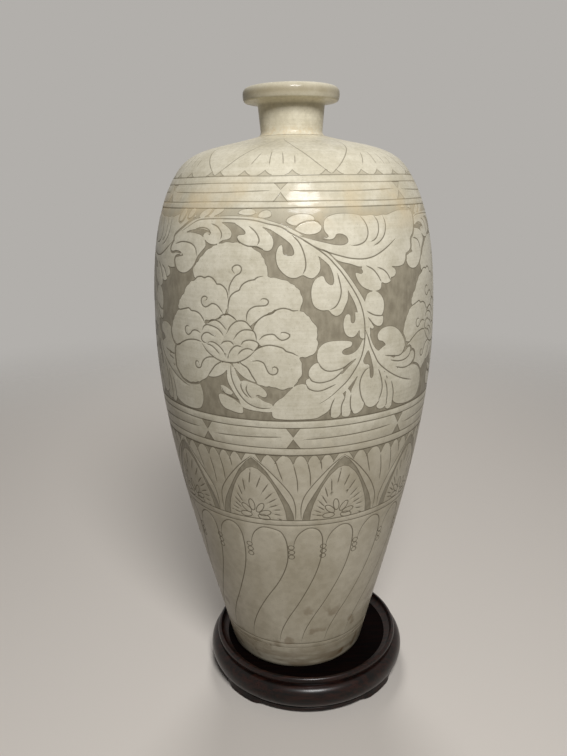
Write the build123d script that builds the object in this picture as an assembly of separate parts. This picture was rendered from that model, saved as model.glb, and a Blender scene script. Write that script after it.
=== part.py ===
from build123d import *
import os
from math import cos, degrees, radians, sin

# A glazed stoneware meiping vase standing loose in the dished seat of a turned hardwood stand.
# Millimetres, +Z up. The origin is on the floor, straight below the vase's own axis.

# Vase: outside, from the foot upwards
FOOT_RADIUS = 50.6
FOOT_EDGE = 1.5
HEEL_RADIUS = 58.6
HEEL_HEIGHT = 34.0
HEEL_LEAN = 0.254
HEEL_REACH = 79.0
LOWER_WALL_HEIGHT = 211.0
BELLY_RADIUS = 95.8
BELLY_REACH_DOWN = 60.0
BELLY_REACH_UP = 61.0
UPPER_WALL_HEIGHT = 103.0
TURN_RADIUS = 76.1
TURN_ANGLE = 56.3
TURN_REACH_DOWN = 20.0
TURN_REACH_UP = 18.7
SHOULDER_RISE = 22.0
SHOULDER_FALL = 0.276
SHOULDER_REACH = 26.9
COLLAR_RADIUS = 22.0
COLLAR_HEIGHT = 3.0
NECK_BASE_RADIUS = 20.2
NECK_TOP_RADIUS = 21.7
NECK_HEIGHT = 15.6
LIP_RADIUS = 31.3
LIP_UNDERCUT = 1.8
LIP_COVE_HEIGHT = 2.4
LIP_EDGE_HEIGHT = 4.6
LIP_CROWN_HEIGHT = 4.4
LIP_CROWN_WIDTH = 5.3

# Vase: inside
WALL = 6.0
FLOOR_THICKNESS = 9.0
BORE_RADIUS = 14.0
MOUTH_ROUNDING = 3.5
FOOT_RING_WIDTH = 9.0
FOOT_RECESS = 4.0

# Stand: seat, crest and big half-round moulding
SEAT_PLAY = 11.2
NEAR_GAP = 4.2
SEAT_BOARD_THICKNESS = 6.0
SEAT_BOARD_CLEARANCE = 0.2
SEAT_LEDGE = 8.0
DISH_WIDTH = 5.6
CREST_RISE = 5.5
CREST_WIDTH = 2.4
CREST_DROP = 2.4
GROOVE_DEPTH = 1.0
GROOVE_RISE = 0.3
ROUND_BULGE = 6.2
ROUND_HEIGHT = 16.2
ROUND_FOOT_INSET = 5.5
ROUND_FULLNESS = 0.55
QUIRK_HEIGHT = 0.8

# Stand: apron and feet
FOOT_NAMES = ("foot_front_right", "foot_back_right", "foot_back_left", "foot_front_left")
FIRST_FOOT_ANGLE = -43.0
FOOT_SPAN = 30.0
FOOT_BLOCK_HEIGHT = 5.0
FOOT_SPLAY = 1.4
FOOT_TOE = 1.2
APRON_PROJECTION = 1.5
APRON_SETBACK = 5.1
APRON_GAP = 2.2
HOUSING_CLEARANCE = 0.15

# Stand: hidden pegs that pin the feet to the rim
PEG_RADIUS = 2.0
PEG_CLEARANCE = 0.05
PEG_COVER = 1.2
PEG_IN_RIM = 6.0
PEG_END_ROOM = 0.3

# Heights on the stand, measured from the floor
RIM_BOTTOM = FOOT_BLOCK_HEIGHT
ROUND_BOTTOM = RIM_BOTTOM + QUIRK_HEIGHT
ROUND_MIDDLE = ROUND_BOTTOM + ROUND_HEIGHT / 2
ROUND_TOP = ROUND_BOTTOM + ROUND_HEIGHT
SEAT_HEIGHT = ROUND_TOP + GROOVE_RISE
LEDGE_HEIGHT = SEAT_HEIGHT - SEAT_BOARD_THICKNESS
CREST_HEIGHT = SEAT_HEIGHT + CREST_RISE
PEG_HOLE_LOW = PEG_COVER
PEG_HOLE_HIGH = RIM_BOTTOM + PEG_IN_RIM + PEG_END_ROOM

# Radii on the stand, measured from its own centre
SEAT_RADIUS = FOOT_RADIUS + SEAT_PLAY
RIM_INNER_RADIUS = SEAT_RADIUS - SEAT_LEDGE
CREST_INNER_RADIUS = SEAT_RADIUS + DISH_WIDTH
CREST_OUTER_RADIUS = CREST_INNER_RADIUS + CREST_WIDTH
GROOVE_RADIUS = CREST_OUTER_RADIUS - GROOVE_DEPTH
RIM_RADIUS = GROOVE_RADIUS + ROUND_BULGE
ROUND_FOOT_RADIUS = RIM_RADIUS - ROUND_FOOT_INSET
APRON_RADIUS = ROUND_FOOT_RADIUS + APRON_PROJECTION
FOOT_BLOCK_RADIUS = APRON_RADIUS + FOOT_SPLAY
APRON_INNER_RADIUS = RIM_INNER_RADIUS + APRON_SETBACK
PEG_CIRCLE_RADIUS = (APRON_INNER_RADIUS + FOOT_BLOCK_RADIUS) / 2

# The vase stands a little to the left in its roomy seat, so the stand's centre lies to the right.
STAND_CENTRE = Location((SEAT_PLAY - NEAR_GAP, 0, 0))

# Heights on the vase, measured from the floor
FLOOR_LEVEL = SEAT_HEIGHT + FLOOR_THICKNESS
HEEL_LEVEL = SEAT_HEIGHT + HEEL_HEIGHT
BELLY_LEVEL = HEEL_LEVEL + LOWER_WALL_HEIGHT
TURN_LEVEL = BELLY_LEVEL + UPPER_WALL_HEIGHT
NECK_LEVEL = TURN_LEVEL + SHOULDER_RISE
COLLAR_LEVEL = NECK_LEVEL + COLLAR_HEIGHT
LIP_LEVEL = COLLAR_LEVEL + NECK_HEIGHT
LIP_EDGE_LEVEL = LIP_LEVEL + LIP_COVE_HEIGHT
LIP_WIDEST_LEVEL = LIP_EDGE_LEVEL + LIP_EDGE_HEIGHT
MOUTH_LEVEL = LIP_WIDEST_LEVEL + LIP_CROWN_HEIGHT


def at(radius, height):
    """A point of a turned outline, at a radius from the axis and a height above the floor."""
    return Vector(radius, 0, height)


def outline(*points):
    """Straight edges through the given points, in order."""
    return [Line(start, end) for start, end in zip(points, points[1:])]


def turned(*edges, span=360):
    """The solid that a closed outline sweeps about the vertical axis, from +X round by the span."""
    return revolve(make_face(edges), Axis.Z, span)


def lower_wall_curve(inset):
    """The wall from the heel up to the belly: nearly straight at first, upright at the belly."""
    heel = at(HEEL_RADIUS - inset, HEEL_LEVEL)
    belly = at(BELLY_RADIUS - inset, BELLY_LEVEL)
    heel_handle = heel + at(HEEL_LEAN * HEEL_REACH, HEEL_REACH)
    belly_handle = belly - at(0, BELLY_REACH_DOWN)
    return Bezier(heel, heel_handle, belly_handle, belly)


def shoulder_curves(neck_radius, inset):
    """The wall from the belly to the turn of the shoulder, and on over the shoulder to the neck."""
    belly = at(BELLY_RADIUS - inset, BELLY_LEVEL)
    rising = at(-cos(radians(TURN_ANGLE)), sin(radians(TURN_ANGLE)))
    outward = at(sin(radians(TURN_ANGLE)), cos(radians(TURN_ANGLE)))
    turn = at(TURN_RADIUS, TURN_LEVEL) - outward * inset
    neck = at(neck_radius, NECK_LEVEL - inset)
    belly_handle = belly + at(0, BELLY_REACH_UP)
    neck_handle = neck + at(SHOULDER_REACH, -SHOULDER_FALL * SHOULDER_REACH)
    upper_wall = Bezier(belly, belly_handle, turn - rising * TURN_REACH_DOWN, turn)
    shoulder = Bezier(turn, turn + rising * TURN_REACH_UP, neck_handle, neck)
    return upper_wall, shoulder


def make_lower_body():
    """Thrown lower section: foot ring, thick floor and the wall up to the widest girth."""
    recess_radius = FOOT_RADIUS - FOOT_RING_WIDTH
    outer = lower_wall_curve(0)
    inner = lower_wall_curve(WALL)
    return turned(
        *outline(
            at(0, FLOOR_LEVEL),
            at(0, SEAT_HEIGHT + FOOT_RECESS),
            at(recess_radius - FOOT_RECESS, SEAT_HEIGHT + FOOT_RECESS),
            at(recess_radius, SEAT_HEIGHT),
            at(FOOT_RADIUS - FOOT_EDGE, SEAT_HEIGHT),
            at(FOOT_RADIUS, SEAT_HEIGHT + FOOT_EDGE),
            outer @ 0,
        ),
        outer,
        *outline(outer @ 1, inner @ 1),
        inner,
        *outline(inner @ 0, at(FOOT_RADIUS - WALL, FLOOR_LEVEL), at(0, FLOOR_LEVEL)),
    )


def make_upper_body():
    """Thrown upper section: from the widest girth, over the shoulder, to the hole for the neck."""
    outer_wall, outer_shoulder = shoulder_curves(COLLAR_RADIUS, 0)
    inner_wall, inner_shoulder = shoulder_curves(BORE_RADIUS, WALL)
    return turned(
        outer_wall,
        outer_shoulder,
        *outline(outer_shoulder @ 1, at(BORE_RADIUS, NECK_LEVEL), inner_shoulder @ 1),
        inner_shoulder,
        inner_wall,
        *outline(inner_wall @ 0, outer_wall @ 0),
    )


def make_neck():
    """Short neck, a little wider at the top, with a rolled lip and a straight bore."""
    neck_top = at(NECK_TOP_RADIUS, LIP_LEVEL)
    lip_under = at(LIP_RADIUS - LIP_UNDERCUT, LIP_EDGE_LEVEL)
    lip_widest = at(LIP_RADIUS, LIP_WIDEST_LEVEL)
    lip_crown = at(LIP_RADIUS - LIP_CROWN_WIDTH, MOUTH_LEVEL)
    mouth_edge = at(BORE_RADIUS + MOUTH_ROUNDING, MOUTH_LEVEL)
    bore_top = at(BORE_RADIUS, MOUTH_LEVEL - MOUTH_ROUNDING)
    bore_foot = at(BORE_RADIUS, NECK_LEVEL)
    return turned(
        *outline(bore_foot, at(COLLAR_RADIUS, NECK_LEVEL), at(NECK_BASE_RADIUS, COLLAR_LEVEL), neck_top),
        Bezier(neck_top, at(NECK_TOP_RADIUS, LIP_EDGE_LEVEL), lip_under),
        Bezier(lip_under, at(LIP_RADIUS, LIP_EDGE_LEVEL), lip_widest),
        Bezier(lip_widest, at(LIP_RADIUS, MOUTH_LEVEL), lip_crown),
        *outline(lip_crown, mouth_edge),
        Bezier(mouth_edge, at(BORE_RADIUS, MOUTH_LEVEL), bore_top),
        *outline(bore_top, bore_foot),
    )


def foot_angles():
    """The bearing of each foot round the stand, in degrees from +X."""
    step = 360 / len(FOOT_NAMES)
    return [FIRST_FOOT_ANGLE + step * index for index in range(len(FOOT_NAMES))]


def pegs(radius, low, high):
    """Upright round pegs between two heights, at the quarter points of each foot."""
    height = high - low
    blank = Pos(PEG_CIRCLE_RADIUS, 0, low + height / 2) * Cylinder(radius, height)
    quarter = FOOT_SPAN / 4
    return [Rot(0, 0, angle + side) * blank for angle in foot_angles() for side in (-quarter, quarter)]


def make_peg_holes():
    """What is drilled out of the rim and the feet to take the pegs."""
    return pegs(PEG_RADIUS + PEG_CLEARANCE, PEG_HOLE_LOW, PEG_HOLE_HIGH)


def half_round():
    """The big moulding's outline, from the groove below the crest down to the quirk above the apron."""
    top = at(GROOVE_RADIUS, ROUND_TOP)
    widest = at(RIM_RADIUS, ROUND_MIDDLE)
    bottom = at(ROUND_FOOT_RADIUS, ROUND_BOTTOM)
    rise = at(0, ROUND_FULLNESS * ROUND_HEIGHT / 2)
    upper = Bezier(top, top + at(ROUND_FULLNESS * ROUND_BULGE, 0), widest + rise, widest)
    lower = Bezier(widest, widest - rise, bottom + at(ROUND_FULLNESS * ROUND_FOOT_INSET, 0), bottom)
    return upper, lower


def make_housing():
    """The room cut through the apron for one foot, centred on +X."""
    clearance_angle = degrees(HOUSING_CLEARANCE / PEG_CIRCLE_RADIUS)
    span = FOOT_SPAN + 2 * clearance_angle
    inner = APRON_INNER_RADIUS - HOUSING_CLEARANCE
    outer = FOOT_BLOCK_RADIUS + HOUSING_CLEARANCE
    edges = outline(at(inner, 0), at(outer, 0), at(outer, RIM_BOTTOM), at(inner, RIM_BOTTOM), at(inner, 0))
    return Rot(0, 0, -span / 2) * turned(*edges, span=span)


def make_stand_rim():
    """Turned ring: dished seat edge, crest, half-round moulding and low apron, housed for the feet."""
    seat_edge = at(SEAT_RADIUS, SEAT_HEIGHT)
    crest_inner = at(CREST_INNER_RADIUS, CREST_HEIGHT)
    crest_outer = at(CREST_OUTER_RADIUS, CREST_HEIGHT - CREST_DROP)
    upper, lower = half_round()
    ring = turned(
        *outline(
            at(RIM_INNER_RADIUS, RIM_BOTTOM),
            at(RIM_INNER_RADIUS, LEDGE_HEIGHT),
            at(SEAT_RADIUS, LEDGE_HEIGHT),
            seat_edge,
        ),
        Bezier(seat_edge, at(CREST_INNER_RADIUS, SEAT_HEIGHT), crest_inner),
        Bezier(crest_inner, at(CREST_OUTER_RADIUS, CREST_HEIGHT), crest_outer),
        *outline(crest_outer, upper @ 0),
        upper,
        lower,
        *outline(
            lower @ 1,
            at(ROUND_FOOT_RADIUS, RIM_BOTTOM),
            at(APRON_RADIUS, RIM_BOTTOM),
            at(APRON_RADIUS, APRON_GAP),
            at(APRON_INNER_RADIUS, APRON_GAP),
            at(APRON_INNER_RADIUS, RIM_BOTTOM),
            at(RIM_INNER_RADIUS, RIM_BOTTOM),
        ),
    )
    housing = make_housing()
    housings = [Rot(0, 0, angle) * housing for angle in foot_angles()]
    return ring - housings - make_peg_holes()


def make_seat_board():
    """Flat round board let into the rim's rebate: the floor that the vase stands on."""
    height = SEAT_BOARD_THICKNESS
    return Pos(0, 0, SEAT_HEIGHT - height / 2) * Cylinder(SEAT_RADIUS - SEAT_BOARD_CLEARANCE, height)


def make_foot(angle):
    """One low bracket foot, splayed towards its toe, under the rim at this bearing."""
    edges = outline(
        at(APRON_INNER_RADIUS, 0),
        at(FOOT_BLOCK_RADIUS - FOOT_TOE, 0),
        at(FOOT_BLOCK_RADIUS, FOOT_TOE),
        at(APRON_RADIUS, RIM_BOTTOM),
        at(APRON_INNER_RADIUS, RIM_BOTTOM),
        at(APRON_INNER_RADIUS, 0),
    )
    block = Rot(0, 0, angle - FOOT_SPAN / 2) * turned(*edges, span=FOOT_SPAN)
    return block - make_peg_holes()


def make_pegs():
    """All the pegs as separate solids."""
    return Compound(pegs(PEG_RADIUS, PEG_HOLE_LOW + PEG_END_ROOM, PEG_HOLE_HIGH - PEG_END_ROOM))


def main():
    """Build every piece and write one file for each."""
    pieces = {
        "lower_body": make_lower_body(),
        "upper_body": make_upper_body(),
        "neck_and_lip": make_neck(),
        "stand_rim": STAND_CENTRE * make_stand_rim(),
        "seat_board": STAND_CENTRE * make_seat_board(),
        "foot_pegs": STAND_CENTRE * make_pegs(),
    }
    for name, angle in zip(FOOT_NAMES, foot_angles()):
        pieces[name] = STAND_CENTRE * make_foot(angle)
    os.makedirs("parts", exist_ok=True)
    for name, piece in pieces.items():
        export_step(piece, f"parts/{name}.step")


main()
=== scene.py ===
"""Looks of a slip-carved meiping vase on a turned wood stand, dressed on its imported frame."""

import logging
import math
from collections.abc import Sequence
from dataclasses import dataclass, field
from enum import Enum

import bpy
import numpy as np
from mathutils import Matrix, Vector, kdtree
from mathutils.geometry import delaunay_2d_cdt


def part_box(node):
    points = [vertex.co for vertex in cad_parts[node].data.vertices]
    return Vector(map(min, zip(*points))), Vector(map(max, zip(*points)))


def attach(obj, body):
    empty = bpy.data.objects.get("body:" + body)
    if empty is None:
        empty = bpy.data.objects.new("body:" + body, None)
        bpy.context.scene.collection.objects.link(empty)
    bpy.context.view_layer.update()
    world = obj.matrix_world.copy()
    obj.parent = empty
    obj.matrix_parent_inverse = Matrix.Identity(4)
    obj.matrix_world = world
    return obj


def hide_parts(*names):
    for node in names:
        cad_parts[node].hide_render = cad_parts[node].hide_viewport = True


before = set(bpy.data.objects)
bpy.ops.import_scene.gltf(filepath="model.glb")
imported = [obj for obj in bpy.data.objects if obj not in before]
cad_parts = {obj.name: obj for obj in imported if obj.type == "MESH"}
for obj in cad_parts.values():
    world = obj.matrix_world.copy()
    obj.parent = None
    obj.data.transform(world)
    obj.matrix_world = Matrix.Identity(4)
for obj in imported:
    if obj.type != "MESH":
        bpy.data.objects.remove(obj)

LOG = logging.getLogger("meiping_vase")
MM = 0.001
FULL_TURN = 360.0
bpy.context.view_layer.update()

# Steps of a curve from one drawn point to the next, and the least sizes that count, in millimetres
SPAN_STEPS = 8
NEVER_ZERO = 1e-9
SLIVER = 1e-6
ON_RIM = 1e-4
# How close points are merged, in metres, and past which angle an edge is sharp, in degrees
CARVED_MERGE = 1e-6
CARVED_SHARP = 12.0
TURNED_MERGE = 2e-6
TURNED_SHARP = 35.0
EASED_SHARP = 40.0

Array = np.ndarray
Piece = bpy.types.Object
Material = bpy.types.Material
Point = tuple[float, float]
Points = Sequence[Point]
Span = tuple[float, float]
Run = tuple[int, int, int]
Place = tuple[float, float, float]
Colour = tuple[float, float, float, float]


class Tone(Enum):
    """What a patch of the carved skin shows."""

    GROUND = 0
    SLIP = 1


class Body(Enum):
    """The two bodies of the frame that pieces ride on."""

    VASE = "vase"
    STAND = "stand"


class Slot(Enum):
    """The record's material slots."""

    CERAMIC = "slip_glazed_stoneware"
    WOOD = "lacquered_wood"


# Curves on the unrolled surface


def bezier(*controls: Point | Array, steps: int = 60) -> Array:
    """Points along a Bezier curve.

    Args:
        controls: its control points, two for a straight line and up to four.
        steps: how many equal steps of the parameter to take.

    Returns:
        An array of steps + 1 points.
    """
    degree = len(controls) - 1
    share = np.linspace(0, 1, steps + 1)[:, None]
    points = np.zeros((steps + 1, 2))
    for index, control in enumerate(controls):
        weight = math.comb(degree, index) * (1 - share) ** (degree - index) * share**index
        points += weight * np.asarray(control, float)
    return points


def smooth_path(points: Array, closed: bool, step: float) -> Array:
    """A Catmull-Rom curve through the points, cut into equal steps.

    Args:
        points: the points that the curve passes through.
        closed: whether the last point runs on to the first.
        step: about how long each step is.

    Returns:
        The new points; a closed path doesn't repeat its first point.
    """
    if closed:
        knots = np.vstack([points[-1], points, points[:2]])
    else:
        knots = np.vstack([2 * points[0] - points[1], points, 2 * points[-1] - points[-2]])
    share = np.linspace(0, 1, SPAN_STEPS, endpoint=False)[:, None]
    runs = []
    for before, start, end, after in zip(knots, knots[1:], knots[2:], knots[3:]):
        bend = 2 * before - 5 * start + 4 * end - after
        swing = 3 * start - before - 3 * end + after
        runs.append(start + 0.5 * ((end - before) * share + bend * share**2 + swing * share**3))
    dense = np.vstack([*runs, points[:1] if closed else points[-1:]])
    travelled = path_lengths(dense)
    fewest = 6 if closed else 2
    count = max(round(travelled[-1] / step), fewest)
    stops = np.linspace(0, travelled[-1], count + 1)
    path = np.column_stack([np.interp(stops, travelled, dense[:, axis]) for axis in (0, 1)])
    return path[:-1] if closed else path


def path_lengths(path: Array) -> Array:
    """The length of the path up to each of its points."""
    steps = np.hypot(*np.diff(path, axis=0).T)
    return np.concatenate([[0.0], np.cumsum(steps)])


def path_normals(path: Array, closed: bool) -> Array:
    """Unit normals on the right-hand side of a path's direction of travel.

    Args:
        path: the path's points.
        closed: whether the last point runs on to the first.

    Returns:
        One normal for each point.
    """
    if closed:
        along = np.roll(path, -1, axis=0) - np.roll(path, 1, axis=0)
    else:
        along = np.gradient(path, axis=0)
    length = np.maximum(np.hypot(along[:, 0], along[:, 1]), NEVER_ZERO)
    return np.column_stack([along[:, 1], -along[:, 0]]) / length[:, None]


def anticlockwise(loop: Array) -> Array:
    """The loop, turned round if it runs clockwise."""
    crossed = loop * np.roll(loop, -1, axis=0)[:, ::-1]
    return loop if np.sum(crossed[:, 0] - crossed[:, 1]) > 0 else loop[::-1]


def inside_loop(points: Array, loop: Array) -> Array:
    """Which points lie inside a closed loop, by counting the edges to their right.

    Args:
        points: an array of points.
        loop: the loop's points.

    Returns:
        One boolean for each point.
    """
    found = np.zeros(len(points), bool)
    low, high = loop.min(axis=0), loop.max(axis=0)
    near = np.nonzero(np.all((points >= low) & (points <= high), axis=1))[0]
    if len(near) == 0:
        return found
    start, end = loop, np.roll(loop, -1, axis=0)
    level = points[near, 1][:, None]
    spans = (start[:, 1] > level) != (end[:, 1] > level)
    rise = np.where(end[:, 1] == start[:, 1], NEVER_ZERO, end[:, 1] - start[:, 1])
    crossing = start[:, 0] + (level - start[:, 1]) * (end[:, 0] - start[:, 0]) / rise
    hits = spans & (points[near, 0][:, None] < crossing)
    found[near] = np.sum(hits, axis=1) % 2 == 1
    return found


def spread(low: float, high: float, step: float, fewest: int = 1) -> Array:
    """Even places from low to high, about a step apart."""
    count = max(round((high - low) / step), fewest)
    return np.linspace(low, high, count + 1)


def paired(across: Array | float, along: Array | float) -> Array:
    """Points from their places across and along, either of which may be one for all."""
    return np.column_stack(np.broadcast_arrays(across, along))


def oval(length: float, width: float, steps: int) -> tuple[Array, Array]:
    """How far along and how far aside the points of an oval lie from its middle."""
    turn = np.linspace(0, 2 * math.pi, steps, endpoint=False)
    return length * np.cos(turn), width * np.sin(turn)


def both_sides(side: Points) -> list[Point]:
    """An outline whose one side is given from its tip down, with the mirrored side before it."""
    return [*((-across, height) for across, height in side[:0:-1]), *side]


def search_tree(points: Array) -> kdtree.KDTree:
    """A tree that finds the nearest of some points.

    Args:
        points: the points, on the unrolled wall.

    Returns:
        The tree, in which every point has a third number of 0.
    """
    tree = kdtree.KDTree(len(points))
    for number, point in enumerate(points.tolist()):
        tree.insert((*point, 0.0), number)
    tree.balance()
    return tree


# Shaders and finishes


def linear(red: int, green: int, blue: int) -> Colour:
    """A linear colour from screen values of 0 to 255."""
    return linear_channel(red), linear_channel(green), linear_channel(blue), 1.0


def linear_channel(value: int) -> float:
    """One screen value of 0 to 255 made linear."""
    share = value / 255
    return share / 12.92 if share <= 0.04045 else ((share + 0.055) / 1.055) ** 2.4


class Value:
    """A number that varies over a surface, on which sums are written as plain expressions."""

    def __init__(self, graph: "Graph", socket: bpy.types.NodeSocket) -> None:
        """Wraps one output socket of a graph's node."""
        self.graph = graph
        self.socket = socket

    def _sum(self, operation: str, first: "Value | float", second: "Value | float") -> "Value":
        """A Math node on two numbers."""
        return self.graph.node("ShaderNodeMath", {"operation": operation}, {0: first, 1: second})

    def __add__(self, other: "Value | float") -> "Value":
        """This number plus another."""
        return self._sum("ADD", self, other)

    __radd__ = __add__

    def __sub__(self, other: "Value | float") -> "Value":
        """This number less another."""
        return self._sum("SUBTRACT", self, other)

    def __rsub__(self, other: "Value | float") -> "Value":
        """Another number less this one."""
        return self._sum("SUBTRACT", other, self)

    def __mul__(self, other: "Value | float") -> "Value":
        """This number times another."""
        return self._sum("MULTIPLY", self, other)

    __rmul__ = __mul__

    def between(self, low: float, high: float) -> "Value":
        """0 below the low limit, 1 above the high one, and smooth between them."""
        inputs = {"Value": self, "From Min": low, "From Max": high}
        return self.graph.node("ShaderNodeMapRange", {"interpolation_type": "SMOOTHSTEP"}, inputs)


class Graph:
    """A tree of shader nodes, and the one way its nodes are made."""

    def __init__(self, tree: bpy.types.NodeTree) -> None:
        """Takes up a material's or the surround's tree."""
        self.tree = tree

    def node(self, kind: str, settings: dict, inputs: dict, output: str | int = 0) -> Value:
        """Makes one node.

        Args:
            kind: the node's type.
            settings: its properties, set first.
            inputs: values or links of its sockets, by name or number.
            output: the socket that is wanted.

        Returns:
            The wanted output.
        """
        made = self.tree.nodes.new(kind)
        for setting, value in settings.items():
            setattr(made, setting, value)
        for socket, value in inputs.items():
            if isinstance(value, Value):
                self.join(value, made.inputs[socket])
            else:
                made.inputs[socket].default_value = value
        return Value(self, made.outputs[output])

    def join(self, value: Value, socket: bpy.types.NodeSocket) -> None:
        """Links a value to an input socket."""
        self.tree.links.new(value.socket, socket)

    def looked_at(self) -> Value:
        """1 for what is seen, mirrored or seen through, and 0 for what only lights other things."""
        kinds = ("Is Camera Ray", "Is Glossy Ray", "Is Transmission Ray")
        return sum(self.node("ShaderNodeLightPath", {}, {}, kind) for kind in kinds)


class Shader(Graph):
    """A material with one Principled surface."""

    def __init__(self, name: str, **constants: object) -> None:
        """Starts a material.

        Args:
            name: the material's name.
            constants: values of the surface's sockets, with _ for a space, the same all over.
        """
        self.material = bpy.data.materials.new(name)
        self.material.use_nodes = True
        super().__init__(self.material.node_tree)
        self.surface = self.tree.nodes["Principled BSDF"]
        for socket, value in constants.items():
            self.surface.inputs[socket.replace("_", " ")].default_value = value

    def feed(self, socket: str, value: Value) -> None:
        """Links a varying value to one of the surface's sockets."""
        self.join(value, self.surface.inputs[socket])

    def place(self) -> Value:
        """The surface's own object coordinates, in metres."""
        return self.node("ShaderNodeTexCoord", {}, {}, "Object")

    def height(self) -> Value:
        """The height of the surface above the floor, in metres."""
        return self.node("ShaderNodeSeparateXYZ", {}, {0: self.place()}, "Z")

    def attribute(self, name: str) -> Value:
        """A number kept on the mesh's points."""
        return self.node("ShaderNodeAttribute", {"attribute_name": name}, {}, "Fac")

    def noise(self, scale: float, stretch: Sequence[float] = (1, 1, 1), detail: float = 3.0) -> Value:
        """Cloudy noise.

        Args:
            scale: how many clouds there are to a metre.
            stretch: how much finer it is along each axis.
            detail: how many finer layers it has.

        Returns:
            A number about 0.5.
        """
        laid = self.node("ShaderNodeMapping", {}, {"Vector": self.place(), "Scale": tuple(stretch)})
        return self.node("ShaderNodeTexNoise", {}, {"Vector": laid, "Scale": scale, "Detail": detail})

    def blend(self, share: Value, first: object, second: object) -> Value:
        """A mix of two colours.

        Args:
            share: 0 for the first colour and 1 for the second.
            first: a colour, fixed or varying.
            second: a colour, fixed or varying.

        Returns:
            The mixed colour.
        """
        settings = {"data_type": "RGBA", "clamp_factor": True}
        return self.node("ShaderNodeMix", settings, {0: share, 6: first, 7: second}, 2)

    def relief(self, height: Value, strength: float, distance: float) -> None:
        """Bumps the surface's normal by a height."""
        inputs = {"Height": height, "Strength": strength, "Distance": distance}
        self.feed("Normal", self.node("ShaderNodeBump", {}, inputs))


@dataclass(frozen=True)
class SlipGlaze:
    """Clear glossy glaze over white slip, cut through to a grey-brown body.

    Heights are in metres above the floor.
    """

    slip: Colour = linear(231, 224, 204)
    slip_aged: Colour = linear(202, 194, 171)
    # Slip low on the wall: thinner and smeared, and darker as painted shade of the lower wall
    slip_thin_and_shaded: Colour = linear(213, 204, 183)
    slip_smeared_and_shaded: Colour = linear(188, 178, 155)
    # Shoulder heights whose slip is darkened: partly yellowing, partly painted shade where the key falls
    # brightest
    aged_shaded_shoulder: Span = (0.34, 0.362)
    aged_shaded_shoulder_share: float = 0.25
    # Heights below which the slip is thin, smeared and darkened as painted shade
    thin_and_shaded: Span = (0.188, 0.236)
    ground: Colour = linear(170, 161, 140)
    ground_dark: Colour = linear(143, 134, 115)
    # Painted sheen: heights where the ground is lightened towards the slip and the lines faded, and how much
    painted_sheen: Span = (0.332, 0.352)
    painted_sheen_share: float = 0.72
    line: Colour = linear(110, 101, 83)
    edge_line: float = 0.85
    stain: Colour = linear(213, 192, 152)
    border_stain: Span = (0.329, 0.372)
    neck_stain: Span = (0.388, 0.4)
    soil: Colour = linear(122, 98, 68)
    rust: Span = (0.024, 0.05)
    spots: Span = (0.06, 0.12)
    lip: Colour = linear(142, 128, 98)
    lip_stain: Span = (0.4125, 0.4225)

    def belt(self, height: Value, low: float, high: float) -> Value:
        """1 in the middle of a belt of heights and 0 at its edges."""
        middle = (low + high) / 2
        return height.between(low, middle) * (1 - height.between(middle, high))

    def material(self) -> Material:
        """Makes the glaze, which reads the carved skin's attributes.

        Returns:
            The material.
        """
        shader = Shader("slip_glaze", IOR=1.5, Specular_IOR_Level=0.2, Coat_IOR=1.5, Coat_Roughness=0.1)
        slip = shader.attribute("slip")
        incised = shader.attribute("incised")
        height = shader.height()
        cloud = shader.noise(46.0, detail=4.0)
        mottle = shader.noise(170.0, detail=5.0)
        strokes = shader.noise(380.0, (1, 1, 0.4), 4.0)
        grit = shader.noise(520.0)
        speck = shader.noise(1500.0, detail=2.0)
        # White slip yellowed in clouds and turning lines; low down thinner, smeared, with painted shade
        # Painted shade: the slip is darkened on the shoulder, on top of its yellowing
        aged_shaded_shoulder = height.between(*self.aged_shaded_shoulder) * self.aged_shaded_shoulder_share
        thrown = shader.noise(90.0, (0.12, 0.12, 9), 3.0).between(0.4, 0.66)
        worn = cloud.between(0.4, 0.64) * 0.42 + mottle.between(0.36, 0.68) * 0.25
        aged = worn + grit.between(0.4, 0.7) * 0.25 + thrown * 0.2 + aged_shaded_shoulder
        white = shader.blend(aged, self.slip, self.slip_aged)
        smear = shader.noise(26.0, (1, 1, 0.55), 5.0).between(0.4, 0.62)
        smeared = smear * 0.6 + mottle.between(0.36, 0.66) * 0.4
        thin_and_shaded = shader.blend(smeared, self.slip_thin_and_shaded, self.slip_smeared_and_shaded)
        thinned_and_shaded = shader.blend(1 - height.between(*self.thin_and_shaded), white, thin_and_shaded)
        # Scraped ground; near the top, ground lightened and lines faded as painted sheen; dark lines and cut
        # edges
        scraped = strokes.between(0.32, 0.68) * 0.5 + mottle.between(0.34, 0.66) * 0.5
        sheen_lift = height.between(*self.painted_sheen) * self.painted_sheen_share
        bared = shader.blend(scraped, self.ground, self.ground_dark)
        cut = shader.blend(sheen_lift, bared, self.slip_aged)
        skin = shader.blend(slip, cut, thinned_and_shaded)
        edges = slip * (1 - slip) * 4
        drawn = incised.between(0.05, 0.75) * 0.9 + edges * self.edge_line
        lined = shader.blend(drawn * (1 - 0.36 * sheen_lift), skin, self.line)
        # Warm stains on the border and round the neck, soil by the foot, a worn lip and pits
        patches = shader.noise(36.0, detail=7.0).between(0.44, 0.7)
        warm = self.belt(height, *self.border_stain) * patches * 0.65
        root = self.belt(height, *self.neck_stain) * grit.between(0.35, 0.7) * 0.5
        warmed = shader.blend(warm + root, lined, self.stain)
        streaks = shader.noise(34.0, (1, 1, 5), 4.0).between(0.42, 0.62)
        rust = (1 - height.between(*self.rust)) * (0.1 + 0.6 * streaks)
        spots = (1 - height.between(*self.spots)) * shader.noise(75.0).between(0.58, 0.7) * 0.45
        soiled = shader.blend(rust + spots, warmed, self.soil)
        worn_lip = self.belt(height, *self.lip_stain) * (0.35 + 0.5 * cloud)
        pits = (1 - speck.between(0.3, 0.37)) * 0.25
        lipped = shader.blend(worn_lip, soiled, self.lip)
        shader.feed("Base Color", shader.blend(pits, lipped, self.line))
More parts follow.
